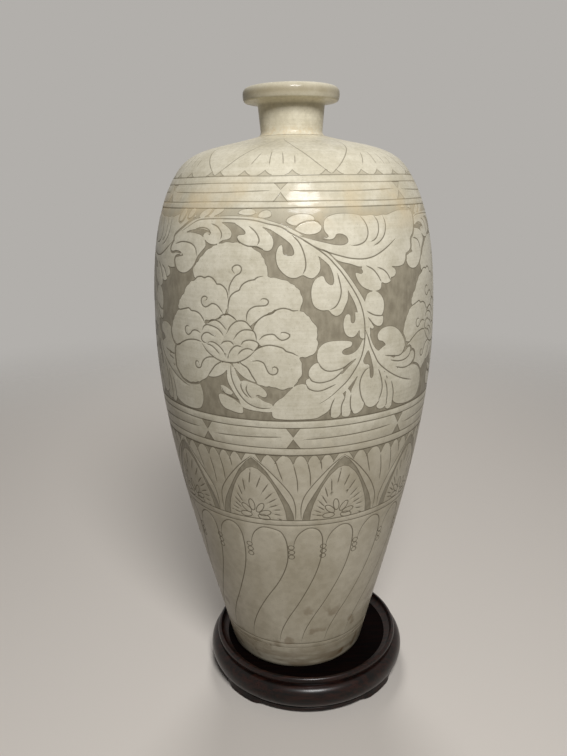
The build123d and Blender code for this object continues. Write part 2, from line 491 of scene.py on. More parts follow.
        # The glaze is dull along the cuts
        slopes = slip * (1 - slip) + incised * (1 - incised)
        shader.feed("Roughness", 0.4 + 0.2 * grit + 0.8 * slopes)
        shine = 0.5 + 0.5 * grit.between(0.38, 0.56)
        shader.feed("Coat Weight", shine * (0.25 + 0.08 * slip) * (1 - 3.6 * slopes))
        shader.relief(mottle * 0.7 + grit * 0.5 + speck * 0.5, 0.17, 0.0005)
        return shader.material


@dataclass(frozen=True)
class BareStoneware:
    """Unglazed inside wall."""

    clay: Colour = linear(128, 112, 92)
    clay_dark: Colour = linear(98, 84, 67)

    def material(self) -> Material:
        """Makes the bare clay, with throwing rings.

        Returns:
            The material.
        """
        shader = Shader("bare_stoneware", Specular_IOR_Level=0.3)
        grain = shader.noise(300.0, detail=4.0)
        rings = shader.noise(30.0, (0.1, 0.1, 6), 2.0)
        shader.feed("Base Color", shader.blend(grain, self.clay, self.clay_dark))
        shader.feed("Roughness", 0.6 + 0.2 * grain)
        shader.relief(rings + grain * 0.3, 0.3, 0.0008)
        return shader.material


@dataclass(frozen=True)
class LacqueredWood:
    """Dark reddish wood under a worn gloss lacquer."""

    name: str = "lacquered_wood"
    dark: Colour = linear(10, 6, 5)
    red: Colour = linear(42, 20, 14)
    pore: Colour = linear(6, 4, 3)
    specular: float = 0.27
    roughness: float = 0.2
    gloss: float = 0.12

    def material(self) -> Material:
        """Makes the wood, with its grain along X.

        Returns:
            The material.
        """
        coat = {"Coat_IOR": 1.5, "Coat_Roughness": 0.14}
        shader = Shader(self.name, IOR=1.5, Specular_IOR_Level=self.specular, **coat)
        grain = shader.noise(45.0, (1, 9, 9), 6.0)
        pores = shader.noise(240.0, (0.5, 8, 8), 2.0)
        cloud = shader.noise(30.0)
        tinted = shader.blend(grain.between(0.35, 0.65), self.dark, self.red)
        shader.feed("Base Color", shader.blend(1 - pores.between(0.32, 0.46), tinted, self.pore))
        shader.feed("Roughness", self.roughness + 0.2 * cloud)
        shader.feed("Coat Weight", self.gloss * 2 * cloud)
        shader.relief(pores * 0.5 + grain * 0.5, 0.1, 0.0004)
        return shader.material


# The vase's wall


@dataclass(frozen=True)
class VaseOutline:
    """The vase's turned outline, in millimetres above its own base."""

    foot_radius: float = 50.6
    foot_edge: float = 1.5
    foot_ring: float = 9.0
    foot_recess: float = 4.0
    floor: float = 9.0
    thickness: float = 6.0
    heel: Point = (58.6, 34.0)
    heel_lean: float = 0.254
    heel_reach: float = 79.0
    belly: Point = (95.8, 245.0)
    belly_down: float = 60.0
    belly_up: float = 61.0
    turn: Point = (76.1, 348.0)
    turn_angle: float = 56.3
    turn_down: float = 20.0
    turn_up: float = 18.7
    neck_root: Point = (22.0, 370.0)
    shoulder_fall: float = 0.276
    shoulder_reach: float = 26.9

    def wall(self) -> Array:
        """The outer wall, from the foot's edge up to the neck's root.

        Returns:
            The radius and the height of each of its points.
        """
        heel, belly, turn, root = map(np.array, (self.heel, self.belly, self.turn, self.neck_root))
        angle = math.radians(self.turn_angle)
        rising = np.array([-math.cos(angle), math.sin(angle)])
        lean = heel + self.heel_reach * np.array([self.heel_lean, 1.0])
        approach = root + self.shoulder_reach * np.array([1.0, -self.shoulder_fall])
        foot = bezier((self.foot_radius, self.foot_edge), heel, steps=16)
        lower = bezier(heel, lean, belly - (0, self.belly_down), belly, steps=120)
        upper = bezier(belly, belly + (0, self.belly_up), turn - rising * self.turn_down, turn, steps=90)
        shoulder = bezier(turn, turn + rising * self.turn_up, approach, root, steps=60)
        return np.vstack([foot, lower[1:], upper[1:], shoulder[1:]])


class TurnedWall:
    """The vase's outer wall, unrolled along its outline."""

    def __init__(self, outline: VaseOutline, base: float) -> None:
        """Measures the outline.

        Args:
            outline: the vase's outline.
            base: the height of the vase's base above the floor, in metres.
        """
        self.outline = outline
        self.base = base
        path = outline.wall()
        self.radius, self.height = path[:, 0], path[:, 1]
        self.arc = path_lengths(path)
        along = np.gradient(path, self.arc, axis=0)
        self.out, self.up = along[:, 1], -along[:, 0]

    def arc_at(self, height: Array | float) -> Array:
        """The distance along the wall up to a height."""
        return np.interp(height, self.height, self.arc)

    def radius_at(self, height: float) -> float:
        """The wall's radius at a height."""
        return float(np.interp(height, self.height, self.radius))

    def place(self, azimuth: Array, arc: Array, depth: Array | float) -> Array:
        """Points of the wall in the frame.

        Args:
            azimuth: bearings in degrees, 0 towards -Y and growing towards +X.
            arc: distances along the wall, in millimetres.
            depth: how far below the wall's surface, in millimetres.

        Returns:
            An array of points in metres.
        """
        radius = np.interp(arc, self.arc, self.radius) - depth * np.interp(arc, self.arc, self.out)
        height = np.interp(arc, self.arc, self.height) - depth * np.interp(arc, self.arc, self.up)
        bearing = np.radians(azimuth)
        across = radius * np.sin(bearing) * MM
        towards = -radius * np.cos(bearing) * MM
        return np.column_stack([across, towards, self.base + height * MM])


# Carving


@dataclass
class Fill:
    """One closed patch of slip or of bare ground on the unrolled wall."""

    loop: Array
    tone: Tone


@dataclass
class Groove:
    """One incised line on the unrolled wall, hidden by fills laid after it."""

    path: Array
    half_width: float
    closed: bool
    laid_after: int


class EdgeNet:
    """Points and edges that the triangles of a carved skin have to follow."""

    def __init__(self) -> None:
        """Starts empty."""
        self.points: list[Array] = []
        self.edges: list[Array] = []
        self.count = 0

    def add(self, path: Array, closed: bool, linked: bool = True) -> Array:
        """Adds a path's points, with the edges between them.

        Args:
            path: the points.
            closed: whether the last joins the first.
            linked: whether there are edges at all.

        Returns:
            The new points' numbers.
        """
        numbers = np.arange(self.count, self.count + len(path))
        self.points.append(path)
        self.count += len(path)
        if linked:
            self.link(np.append(numbers, numbers[0]) if closed else numbers)
        return numbers

    def link(self, numbers: Array) -> None:
        """Adds edges along a chain of points."""
        self.edges.append(np.column_stack([numbers[:-1], numbers[1:]]))

    def triangles(self, epsilon: float = 0.004) -> tuple[Array, Array]:
        """Triangles that follow every edge.

        Args:
            epsilon: points closer than this become one.

        Returns:
            The points, and three point numbers for each triangle, anticlockwise.
        """
        given = [Vector(point) for point in np.vstack(self.points).tolist()]
        edges = np.vstack(self.edges).tolist()
        made = delaunay_2d_cdt(given, edges, [], 0, epsilon, False)
        points = np.array([tuple(point) for point in made[0]])
        corners = np.array([face for face in made[2] if len(face) == 3])
        first, second, third = (points[corners[:, index]] for index in range(3))
        one, other = second - first, third - first
        area = one[:, 0] * other[:, 1] - one[:, 1] * other[:, 0]
        corners[area < 0] = corners[area < 0][:, ::-1]
        return points, corners[np.abs(area) > SLIVER]


@dataclass
class CarvedBand:
    """A ring of the vase's wall with slip carved on its outside; lengths in millimetres.

    Its pattern is drawn on the wall unrolled flat: degrees of bearing across, height up.
    """

    name: str
    wall: TurnedWall
    low: float
    high: float
    base_tone: Tone
    rows: int = 2
    skin: float = 0.03
    slip_depth: float = 0.14
    line_depth: float = 0.13
    cut_slope: float = 0.65
    mark_step: float = 0.2
    fill_step: float = 1.3
    line_step: float = 1.3
    grid_step: float = 3.4
    inner_step: float = 14.0
    line_width: float = 1.15
    tip_width: float = 0.35
    taper_rate: float = 6.0
    ruffle_length: float = 5.2
    ruffle_sway: float = 1.4
    ruffle_drift: float = 3.3
    ring_reach: float = 190.0
    ring_points: int = 241
    ring_share: float = 0.7
    free_share: float = 0.45
    map_margin: float = 0.012
    skin_map: Span = (1.0, 0.1)
    rim_map: Span = (0.09, 0.07)
    inside_map: Span = (0.06, 0.0)
    fills: list[Fill] = field(default_factory=list)
    grooves: list[Groove] = field(default_factory=list)

    def __post_init__(self) -> None:
        """Works out the unrolled sheet's size."""
        middle = (self.low + self.high) / 2
        self.scale = math.radians(1) * self.wall.radius_at(middle)
        self.half_turn = FULL_TURN / 2 * self.scale
        self.low_arc = float(self.wall.arc_at(self.low))
        self.high_arc = float(self.wall.arc_at(self.high))

    def sheet(self, points: Points, centre: float, stretch: float) -> Array:
        """Points of the drawing on the flat sheet.

        Args:
            points: bearings in degrees from the motif's centre, and heights.
            centre: the motif's own bearing.
            stretch: how much wider the motif is drawn.

        Returns:
            The points in millimetres across and along the wall.
        """
        drawn = np.asarray(points, float)
        across = (centre + drawn[:, 0] * stretch) * self.scale
        return np.column_stack([across, self.wall.arc_at(drawn[:, 1])])

    def _turns(self, path: Array) -> list[Array]:
        """Repeats a path a turn away on either side.

        Args:
            path: the path.

        Returns:
            Those of the three that show on the sheet.
        """
        half = self.half_turn
        copies = [path + np.array([shift, 0.0]) for shift in (-2 * half, 0.0, 2 * half)]
        return [copy for copy in copies if copy[:, 0].max() > -half and copy[:, 0].min() < half]

    def fill(
        self,
        points: Points,
        tone: Tone = Tone.SLIP,
        centre: float = 0.0,
        stretch: float = 1.0,
        grow: float = 0.0,
        ruffle: float = 0.0,
        sharp: bool = False,
    ) -> None:
        """Lays a patch over what is drawn already.

        Args:
            points: the patch's outline.
            tone: slip or ground.
            centre: the motif's bearing.
            stretch: how much wider the motif is drawn.
            grow: how far the outline is moved outwards.
            ruffle: how high the small waves along its edge are.
            sharp: whether the outline keeps its corners.
        """
        drawn = self.sheet(points, centre, stretch)
        if sharp:
            sides = zip(drawn, np.roll(drawn, -1, axis=0))
            loop = np.vstack([smooth_path(np.array(side), False, self.fill_step)[:-1] for side in sides])
        else:
            loop = smooth_path(drawn, True, self.fill_step)
        loop = anticlockwise(loop)
        if ruffle:
            turns = 2 * math.pi * path_lengths(loop) / self.ruffle_length
            sway = self.ruffle_sway * np.sin(turns / self.ruffle_drift)
            grow = ruffle * np.sin(turns + sway)[:, None]
        loop = loop + path_normals(loop, True) * grow
        self.fills += [Fill(copy, tone) for copy in self._turns(loop)]

    def line(
        self,
        points: Points,
        centre: float = 0.0,
        stretch: float = 1.0,
        width: float | None = None,
        closed: bool = False,
    ) -> None:
        """Incises a line.

        Args:
            points: what it passes through.
            centre: the motif's bearing.
            stretch: how much wider the motif is drawn.
            width: its width, if it isn't the usual one.
            closed: whether it is a closed ring.
        """
        path = smooth_path(self.sheet(points, centre, stretch), closed, self.line_step)
        half = (width or self.line_width) / 2
        self.grooves += [Groove(copy, half, closed, len(self.fills)) for copy in self._turns(path)]

    def ring(self, height: float, width: float | None = None, waver: float = 0.18) -> None:
        """Incises a line right round the vase, a little uneven as a hand leaves it.

        Args:
            height: its height.
            width: its width, if it isn't the usual one.
            waver: how far it strays up and down.
        """
        bearings = np.linspace(-self.ring_reach, self.ring_reach, self.ring_points)
        slow = np.sin(np.radians(3 * bearings + height * 7))
        quick = np.sin(np.radians(8 * bearings + height))
        points = paired(bearings, height + waver * (slow + 0.6 * quick))
        path = smooth_path(self.sheet(points, 0, 1), False, self.grid_step * self.ring_share)
        self.grooves.append(Groove(path, (width or self.line_width) / 2, False, len(self.fills)))

    def _shown(self, groove: Groove) -> list[Groove]:
        """Leaves out what later fills hide of a groove.

        Args:
            groove: the groove.

        Returns:
            The stretches of it that show.
        """
        hidden = np.zeros(len(groove.path), bool)
        for fill in self.fills[groove.laid_after:]:
            hidden |= inside_loop(groove.path, fill.loop)
        if not hidden.any():
            return [groove]
        breaks = np.nonzero(np.diff(hidden.astype(int)))[0] + 1
        runs = np.split(np.arange(len(groove.path)), breaks)
        shown = [run for run in runs if not hidden[run[0]] and len(run) > 2]
        return [Groove(groove.path[run], groove.half_width, False, groove.laid_after) for run in shown]

    def _net(self, grooves: list[Groove]) -> EdgeNet:
        """The edges of the carved skin: its rim, its patches with the foot of each cut, and its lines.

        Args:
            grooves: the lines that show.

        Returns:
            The edges, with loose points between them.
        """
        net = EdgeNet()
        across = spread(-self.half_turn, self.half_turn, self.grid_step)
        along = spread(self.low_arc, self.high_arc, self.grid_step)
        for level in (self.low_arc, self.high_arc):
            net.add(paired(across, level), False)
        for side in (-self.half_turn, self.half_turn):
            net.add(paired(side, along), False)
        for fill in self.fills:
            outward = self.cut_slope if fill.tone is Tone.SLIP else -self.cut_slope
            net.add(fill.loop, True)
            net.add(fill.loop + path_normals(fill.loop, True) * outward, True)
        for groove in grooves:
            self._add_groove(net, groove)
        taken = search_tree(np.vstack(net.points))
        free = []
        for row, level in enumerate(along[1:-1]):
            shift = self.grid_step / 2 * (row % 2)
            for place in across[1:-1] + shift:
                clear = taken.find((place, level, 0.0))[2] > self.grid_step * self.free_share
                if clear and place < self.half_turn - self.grid_step / 3:
                    free.append((place, level))
        if free:
            net.add(np.array(free), False, linked=False)
        return net

    def _add_groove(self, net: EdgeNet, groove: Groove) -> None:
        """Adds a groove's two edges and its bottom.

        Args:
            net: the net that they go into.
            groove: the groove.
        """
        normals = path_normals(groove.path, groove.closed)
        widths = self._widths(groove)[:, None]
        chains = [net.add(groove.path + normals * widths * side, groove.closed) for side in (-1, 0, 1)]
        if not groove.closed:
            net.link(np.array([chain[0] for chain in chains]))
            net.link(np.array([chain[-1] for chain in chains]))

    def _widths(self, groove: Groove) -> Array:
        """Half the width of a groove along it; an open one tapers at its ends.

        Args:
            groove: the groove.

        Returns:
            One length for each of its points.
        """
        count = len(groove.path)
        if groove.closed:
            return np.full(count, groove.half_width)
        share = np.linspace(0, 1, count)
        taper = np.minimum(1, self.tip_width + self.taper_rate * np.minimum(share, 1 - share))
        return groove.half_width * taper

    def _tones(self, points: Array, corners: Array) -> Array:
        """What each triangle of the skin shows.

        Args:
            points: the skin's points.
            corners: its triangles.

        Returns:
            1 for each triangle of slip and 0 for one of ground.
        """
        middles = points[corners].mean(axis=1)
        tones = np.full(len(corners), self.base_tone.value, float)
        for fill in self.fills:
            tones[inside_loop(middles, fill.loop)] = fill.tone.value
        return tones

    def _depths_of_lines(self, points: Array, grooves: list[Groove]) -> Array:
        """How deep points lie in incised lines.

        Args:
            points: the points.
            grooves: the lines.

        Returns:
            One share for each point, from 0 at a line's edge to 1 at its bottom.
        """
        depths = np.zeros(len(points))
        if not grooves:
            return depths
        marks = np.vstack([self._fine_marks(groove) for groove in grooves])
        samples, halves = marks[:, :2], marks[:, 2]
        tree = search_tree(samples)
        for number, point in enumerate(points.tolist()):
            _, nearest, distance = tree.find((*point, 0.0))
            depths[number] = 1 - distance / halves[nearest]
        return np.clip(depths, 0, 1)

    def _fine_marks(self, groove: Groove) -> Array:
        """Close marks along a groove's bottom.

        Args:
            groove: the groove.

        Returns:
            The place of each mark, with half the groove's width there.
        """
        marks = np.column_stack([groove.path, self._widths(groove)])
        if groove.closed:
            marks = np.vstack([marks, marks[:1]])
        travelled = path_lengths(marks[:, :2])
        stops = np.arange(0, travelled[-1], self.mark_step)
        return np.column_stack([np.interp(stops, travelled, column) for column in marks.T])

    def build(self) -> Piece:
        """The band as one closed ring, with its carving's attributes and a map for its picture.

        Returns:
            The new object, with the glaze's slot first and the inside's second.
        """
        grooves = [part for groove in self.grooves for part in self._shown(groove)]
        points, corners = self._net(grooves).triangles()
        middles = points[corners].mean(axis=1)
        on_sheet = np.abs(middles[:, 0]) < self.half_turn
        on_sheet &= (middles[:, 1] > self.low_arc) & (middles[:, 1] < self.high_arc)
        corners = corners[on_sheet]
        tones = self._tones(points, corners)
        slip = np.zeros(len(points))
        for index in range(3):
            np.maximum.at(slip, corners[:, index], tones)
        incised = self._depths_of_lines(points, grooves)
        depth = self.skin + (1 - slip) * self.slip_depth + incised * self.line_depth
        inner = self._inner_net(points).triangles()
        return self._ring_mesh(points, corners, depth, {"slip": slip, "incised": incised}, inner)

    def _rim_points(self, points: Array, level: float) -> Array:
        """Finds the points on one rim.

        Args:
            points: the points on the sheet.
            level: the rim's distance along the wall.

        Returns:
            Their numbers, in order round the vase.
        """
        on_rim = np.abs(points[:, 1] - level) < ON_RIM
        on_rim &= np.abs(points[:, 0]) < self.half_turn + ON_RIM
        numbers = np.nonzero(on_rim)[0]
        return numbers[np.argsort(points[numbers, 0])]

    def _inner_net(self, points: Array) -> EdgeNet:
        """The edges of the inside wall: the outer rims' points again, and a coarse grid.

        Args:
            points: the carved skin's points.

        Returns:
            The edges.
        """
        net = EdgeNet()
        for level in (self.low_arc, self.high_arc):
            net.add(points[self._rim_points(points, level)], False)
        along = spread(self.low_arc, self.high_arc, self.inner_step, fewest=2)
        across = spread(-self.half_turn, self.half_turn, self.inner_step)
        for side in (-self.half_turn, self.half_turn):
            net.add(paired(side, along), False)
        for level in along[1:-1]:
            net.add(paired(across[1:-1], level), False, linked=False)
        return net

    def _map(self, points: Array, corners: Array, top: float, bottom: float) -> Array:
        """Map places of triangles: the unrolled band, cut into rows that lie above each other.

        Args:
            points: the points on the sheet.
            corners: the triangles.
            top: where on the map the highest row ends.
            bottom: where on the map the lowest row starts.

        Returns:
            One place for each corner of each triangle.
        """
        margin = self.map_margin
        share = points[:, 0] / (2 * self.half_turn) + 0.5
        climb = (points[:, 1] - self.low_arc) / (self.high_arc - self.low_arc)
        row = np.clip(np.floor(share[corners].mean(axis=1) * self.rows), 0, self.rows - 1)
        across = share[corners] * self.rows - row[:, None]
        upward = (row[:, None] + margin + climb[corners] * (1 - 2 * margin)) / self.rows
        places = np.stack([margin + across * (1 - 2 * margin), bottom + upward * (top - bottom)], axis=-1)
        return places.reshape(-1, 2)

    def _ring_mesh(
        self,
        points: Array,
        corners: Array,
        depth: Array,
        marks: dict[str, Array],
        inner: tuple[Array, Array],
    ) -> Piece:
        """Joins the carved skin, the inside wall and the two rims into one closed mesh.

        Args:
            points: the skin's points on the sheet.
            corners: the skin's triangles.
            depth: how deep each point of the skin is cut.
            marks: numbers to keep on the skin's points.
            inner: the inside wall's points and triangles on the sheet.

        Returns:
            The new object.
        """
        inner_points, inner_corners = inner
        first_inner = len(points)
        flat = np.vstack([points, inner_points])
        thickness = np.full(len(inner_points), self.wall.outline.thickness)
        depths = np.concatenate([depth, thickness])
        placed = self.wall.place(flat[:, 0] / self.scale, flat[:, 1], depths)
        rims = []
        for level, turned in ((self.low_arc, False), (self.high_arc, True)):
            outer = self._rim_points(points, level)
            inside = self._rim_points(inner_points, level) + first_inner
            rims.append(strip(outer, inside, turned))
        rim_corners = np.vstack(rims)
        faces = np.vstack([corners, inner_corners[:, ::-1] + first_inner, rim_corners])
        maps = np.vstack([
            self._map(flat, corners, *self.skin_map),
            self._map(flat, inner_corners[:, ::-1] + first_inner, *self.inside_map),
            self._map(flat, rim_corners, *self.rim_map),
        ])
        kinds = np.concatenate([np.zeros(len(corners), int), np.ones(len(faces) - len(corners), int)])
        unmarked = np.zeros(len(inner_points))
        kept = {name: np.concatenate([values, unmarked]) for name, values in marks.items()}
        return closed_mesh(self.name, placed, faces, kinds, maps, kept)


def strip(outer: Array, inside: Array, turned: bool) -> Array:
    """Triangles between two chains of points of the same length.

    Args:
        outer: one chain's point numbers.
        inside: the other chain's.
        turned: whether the triangles face the other way.

    Returns:
        Three point numbers for each triangle.
    """
    count = min(len(outer), len(inside))
    outer, inside = outer[:count], inside[:count]
    lower = np.column_stack([outer[:-1], inside[:-1], inside[1:]])
    upper = np.column_stack([outer[:-1], inside[1:], outer[1:]])
    made = np.vstack([lower, upper])
    return made[:, ::-1] if turned else made


def closed_mesh(
    name: str,
    placed: Array,
    faces: Array,
    kinds: Array,
    maps: Array,
    marks: dict[str, Array],
) -> Piece:
    """A mesh object from points and triangles, with its seam merged.

    Args:
        name: the object's name.
        placed: its points, in metres.
        faces: its triangles.
        kinds: the material slot of each triangle.
        maps: a map place for each corner of each triangle.
        marks: numbers to keep on its points.

    Returns:
        The new object, in the scene.
    """
    mesh = bpy.data.meshes.new(name)
    mesh.vertices.add(len(placed))
    mesh.vertices.foreach_set("co", placed.ravel())
    mesh.loops.add(faces.size)
    mesh.loops.foreach_set("vertex_index", faces.ravel())
    mesh.polygons.add(len(faces))
    mesh.polygons.foreach_set("loop_start", np.arange(0, faces.size, 3))
    mesh.polygons.foreach_set("material_index", kinds)
    picture_map = mesh.uv_layers.new(name="OFBake")
    picture_map.data.foreach_set("uv", maps.ravel())
    for mark, values in marks.items():
        keep_mark(mesh, mark, values)
    mesh.update(calc_edges=True)
    piece = bpy.data.objects.new(name, mesh)
    bpy.context.scene.collection.objects.link(piece)
    tidy_mesh(piece, CARVED_MERGE, CARVED_SHARP)
    return piece


def keep_mark(mesh: bpy.types.Mesh, mark: str, values: Array) -> None:
    """Keeps a number on each of a mesh's points, under a name that finishes read."""
    layer = mesh.attributes.new(mark, "FLOAT", "POINT")
    layer.data.foreach_set("value", values)


def select_only(piece: Piece) -> None:
    """Makes a piece the only selected one, and the active one.

    Args:
        piece: the piece.
    """
    bpy.ops.object.select_all(action="DESELECT")
    piece.select_set(True)
    bpy.context.view_layer.objects.active = piece


def tidy_mesh(piece: Piece, merge: float, sharp: float, recalculate: bool = False) -> None:
    """Merges doubled points and shades the piece smooth up to an angle.

    Args:
        piece: the piece.
        merge: points closer than this become one, in metres.
        sharp: the angle past which an edge stays sharp, in degrees.
        recalculate: whether its faces are turned outwards.
    """
    select_only(piece)
    bpy.ops.object.mode_set(mode="EDIT")
    bpy.ops.mesh.select_all(action="SELECT")
    bpy.ops.mesh.remove_doubles(threshold=merge)
    if recalculate:
        bpy.ops.mesh.normals_make_consistent(inside=False)
    bpy.ops.mesh.select_all(action="DESELECT")
    bpy.ops.object.mode_set(mode="OBJECT")
    bpy.ops.object.shade_smooth_by_angle(angle=math.radians(sharp))


def spun(
    name: str,
    outline: Array,
    centre: Point = (0.0, 0.0),
    start: float = 0.0,
    span: float = FULL_TURN,
    steps: int = 180,
) -> Piece:
    """A turned piece: a circle reshaped to its section and spun round an upright axis.

    Args:
        name: the piece's name.
        outline: radius and height of each point of its closed section, in millimetres.
        centre: where the axis stands, in metres.
        start: the bearing of the first section from +X, in degrees.
        span: how far it is turned, in degrees.
        steps: how many steps that takes.

    Returns:
        The new object.
    """
    whole = span >= FULL_TURN
    bpy.ops.object.select_all(action="DESELECT")
    cap = "NOTHING" if whole else "NGON"
    bpy.ops.mesh.primitive_circle_add(vertices=len(outline), radius=MM, fill_type=cap)
    piece = bpy.context.object
    piece.name = name
    bearing = math.radians(start)
    for vertex, (radius, height) in zip(piece.data.vertices, outline):
        across = centre[0] + radius * MM * math.cos(bearing)
        vertex.co = (across, centre[1] + radius * MM * math.sin(bearing), height * MM)
    bpy.ops.object.mode_set(mode="EDIT")
    bpy.ops.mesh.select_all(action="SELECT")
    axis_foot = (*centre, 0.0)
    bpy.ops.mesh.spin(steps=steps, angle=-math.radians(span), center=axis_foot, axis=(0, 0, 1))
    bpy.ops.object.mode_set(mode="OBJECT")
    tidy_mesh(piece, TURNED_MERGE, TURNED_SHARP, recalculate=True)
    return piece


# Motifs


@dataclass
class PeonyScroll:
    """Carved peonies between curling leaves, round the widest part of the vase.

    Every motif is drawn in degrees from the flower's own bearing and millimetres of height.
    """

    band: CarvedBand
    bearings: tuple[float, ...] = (69.5, 158.5, 247.0, -24.5)
    stretches: tuple[float, ...] = (0.94, 0.93, 0.93, 1.0)
    clearance: float = 1.7
    ruffle: float = 0.26
    big_petals: int = 7
    # The flower's petals, its heart, its sepals and the stalk below it
    petals: tuple[Points, ...] = (
        ((-15, 291), (-12.5, 298), (-8.5, 304), (-4, 307.5), (0.5, 308.5), (5.5, 308), (9.5, 305.5),
         (12.5, 302), (14, 297), (14.5, 290), (8, 281), (0.3, 275), (-9, 280)),
        ((0.5, 276), (0, 281.2), (-1.3, 284), (-3, 285.4), (-4, 285), (-4.7, 286.5), (-6, 288.5),
         (-8, 289.3), (-9.5, 288.3), (-10.9, 289), (-13, 288.5), (-14.3, 286.6), (-15.7, 285.8),
         (-18.2, 282.5), (-20, 278), (-22.3, 274), (-23.2, 269), (-19, 268), (-11, 264), (-2, 267)),
        ((0.8, 276.6), (1.4, 279), (3, 281.2), (4.7, 282.4), (4.9, 283.5), (6, 285.8), (8, 287.7),
         (10.3, 288.5), (11, 289.6), (13, 290.4), (17.2, 289.3), (20, 288.5), (22.6, 286.5), (25, 283.5),
         (26.2, 280), (26.6, 278), (26, 273.5), (25.5, 271.5), (23, 271.3), (17.5, 272), (11.5, 266),
         (8, 262.5), (3, 266), (0.3, 269.5), (0.4, 273.5)),
        ((-9.5, 262), (-10.5, 265), (-12, 267.4), (-14, 268.5), (-16, 268.5), (-17.2, 269.9),
         (-19, 269.3), (-22.8, 267.8), (-25.3, 264.5), (-27.3, 259.5), (-28.3, 255), (-28, 250.5),
         (-25.5, 246.3), (-21, 248.5), (-11, 250.5)),
        ((9.7, 261), (10.3, 263.5), (11.5, 266), (13.7, 268.5), (16.2, 269.7), (17.6, 271.6), (20, 272.7),
         (22.2, 272), (23.3, 271.2), (25.3, 271.4), (27.3, 269.7), (29, 266.7), (30.7, 263),
         (31.5, 259.7), (31.3, 255), (31.7, 251.3), (30.7, 247.5), (28.8, 245.2), (25.3, 244.8),
         (20, 247), (14, 249), (10, 255)),
        ((-25.5, 245.2), (-24, 246), (-21.6, 248.3), (-18.2, 250.5), (-14.3, 251.3), (-11.3, 250.5),
         (-7, 246), (-3, 240.5), (-3.6, 239.5), (-5.5, 237.5), (-7, 234.7), (-9, 230.6), (-10.5, 228.7),
         (-12.4, 226.5), (-15, 224.9), (-17.8, 224.1), (-20.5, 224.3), (-22.8, 225.6), (-24.7, 228.3),
         (-26.3, 232), (-26.5, 237), (-26.3, 241.5)),
        ((9.7, 247.5), (11.4, 249.8), (14.5, 251.5), (17.2, 251.2), (19.9, 249.8), (20.7, 248.2),
         (23, 247), (24.9, 245.2), (25.8, 242), (26.2, 237.5), (25.8, 233.7), (24.5, 230.2),
         (23.3, 227.5), (21, 226), (18.7, 225.6), (15.7, 227), (12.6, 227.2), (10.3, 229), (8.7, 233),
         (7.2, 237.5), (5.3, 239.4), (4, 241.3)),
        ((-11.3, 249.8), (-9, 245.6), (-6.7, 243), (-3.6, 240.6), (0, 240), (3, 240.4), (6, 242.5),
         (8.3, 245.2), (9.7, 247.5), (11.5, 251.5), (10.5, 254), (10.2, 257), (9.2, 260), (7, 264.5),
         (3.5, 265), (0.3, 268), (-3.7, 265), (-8, 262.5), (-10.5, 259), (-11.2, 254)),
        ((-9, 230.6), (-6.7, 230.2), (-4.3, 231.4), (-2, 233.7), (-0.5, 236.7), (0.5, 239.5),
         (-2.8, 239.4), (-5.5, 237.5), (-7.4, 234)),
        ((1.5, 239.8), (3, 236), (4.9, 233), (7.2, 230.6), (9.9, 229.5), (8.3, 233.7), (6.8, 237.5),
         (4.9, 239.4)),
        ((0, 239.4), (-0.8, 233.7), (-0.7, 229), (0.3, 225.3), (2, 220.7), (3.3, 217.6), (4.1, 213.8),
         (6.4, 212.2), (10.3, 211.3), (15.2, 211.2), (15.6, 215.6), (12.6, 217.6), (10.3, 220), (8, 222),
         (6, 225), (4.5, 228.5), (3, 233), (2, 237)),
        ((4.1, 228.3), (5.7, 229.8), (8, 229), (10.7, 227.4), (12.6, 225.2), (13.7, 222.6), (13.4, 220.5),
         (12, 220.5), (10.8, 221.6), (9.7, 221), (10, 219), (11.8, 217), (15.5, 215.5), (15.3, 211.3),
         (8, 214), (5, 219), (3.8, 224)),
        ((-3.8, 225.3), (-2.4, 225.3), (-0.5, 223.7), (1, 221.4), (0, 220.3), (-2, 220.7), (-3.4, 222.2)),
        ((-5, 219), (-3.6, 220), (-1.3, 219.1), (1.4, 217.2), (3.7, 214.5), (4.5, 212.2), (4.3, 209.3),
         (2.2, 209.3), (-0.5, 210.3), (-2.8, 211.5), (-4.4, 214.5)),
    )
    # Where one petal lies over the next: a petal's number, and the first and last point of the edge
    petal_edges: tuple[Run, ...] = (
        (1, 0, 12), (2, -2, 9), (3, 0, 7), (4, 0, 9), (5, 0, 5), (6, 0, 7), (7, 0, 8), (5, 7, 11),
        (6, 17, 21),
    )
    # The main stem, arching over the flower and down to the leaves beside it
    stem: Points = (
        (-27.4, 311.2), (-22.8, 315.5), (-17.8, 319.9), (-13.2, 321.7), (-6.7, 322.4), (0.3, 322.7),
        (6, 322.4), (11, 321.7), (15.7, 319.9), (20.3, 317.6), (24.1, 314.9), (28, 311.2), (31, 307.5),
        (34.9, 303.4), (38, 298.8), (41, 293.4), (44.1, 286.6), (47.2, 279), (49.1, 273.5),
        (50.3, 267.4), (50.7, 261.3), (50.8, 254), (47.2, 254), (47, 261.3), (46.4, 267.4),
        (45.3, 273.5), (43.3, 279.7), (41, 285.8), (38.3, 291.9), (35.7, 296.5), (32.6, 300.7),
        (29.5, 304.2), (26.4, 307.6), (23.3, 310.3), (19.5, 313.8), (14.9, 316.1), (10.3, 318.4),
        (4.1, 319.1), (-1.3, 319.7), (-7.4, 318.9), (-13.2, 317.2), (-19, 314.5), (-23.6, 311.5),
        (-27.4, 308.6),
    )
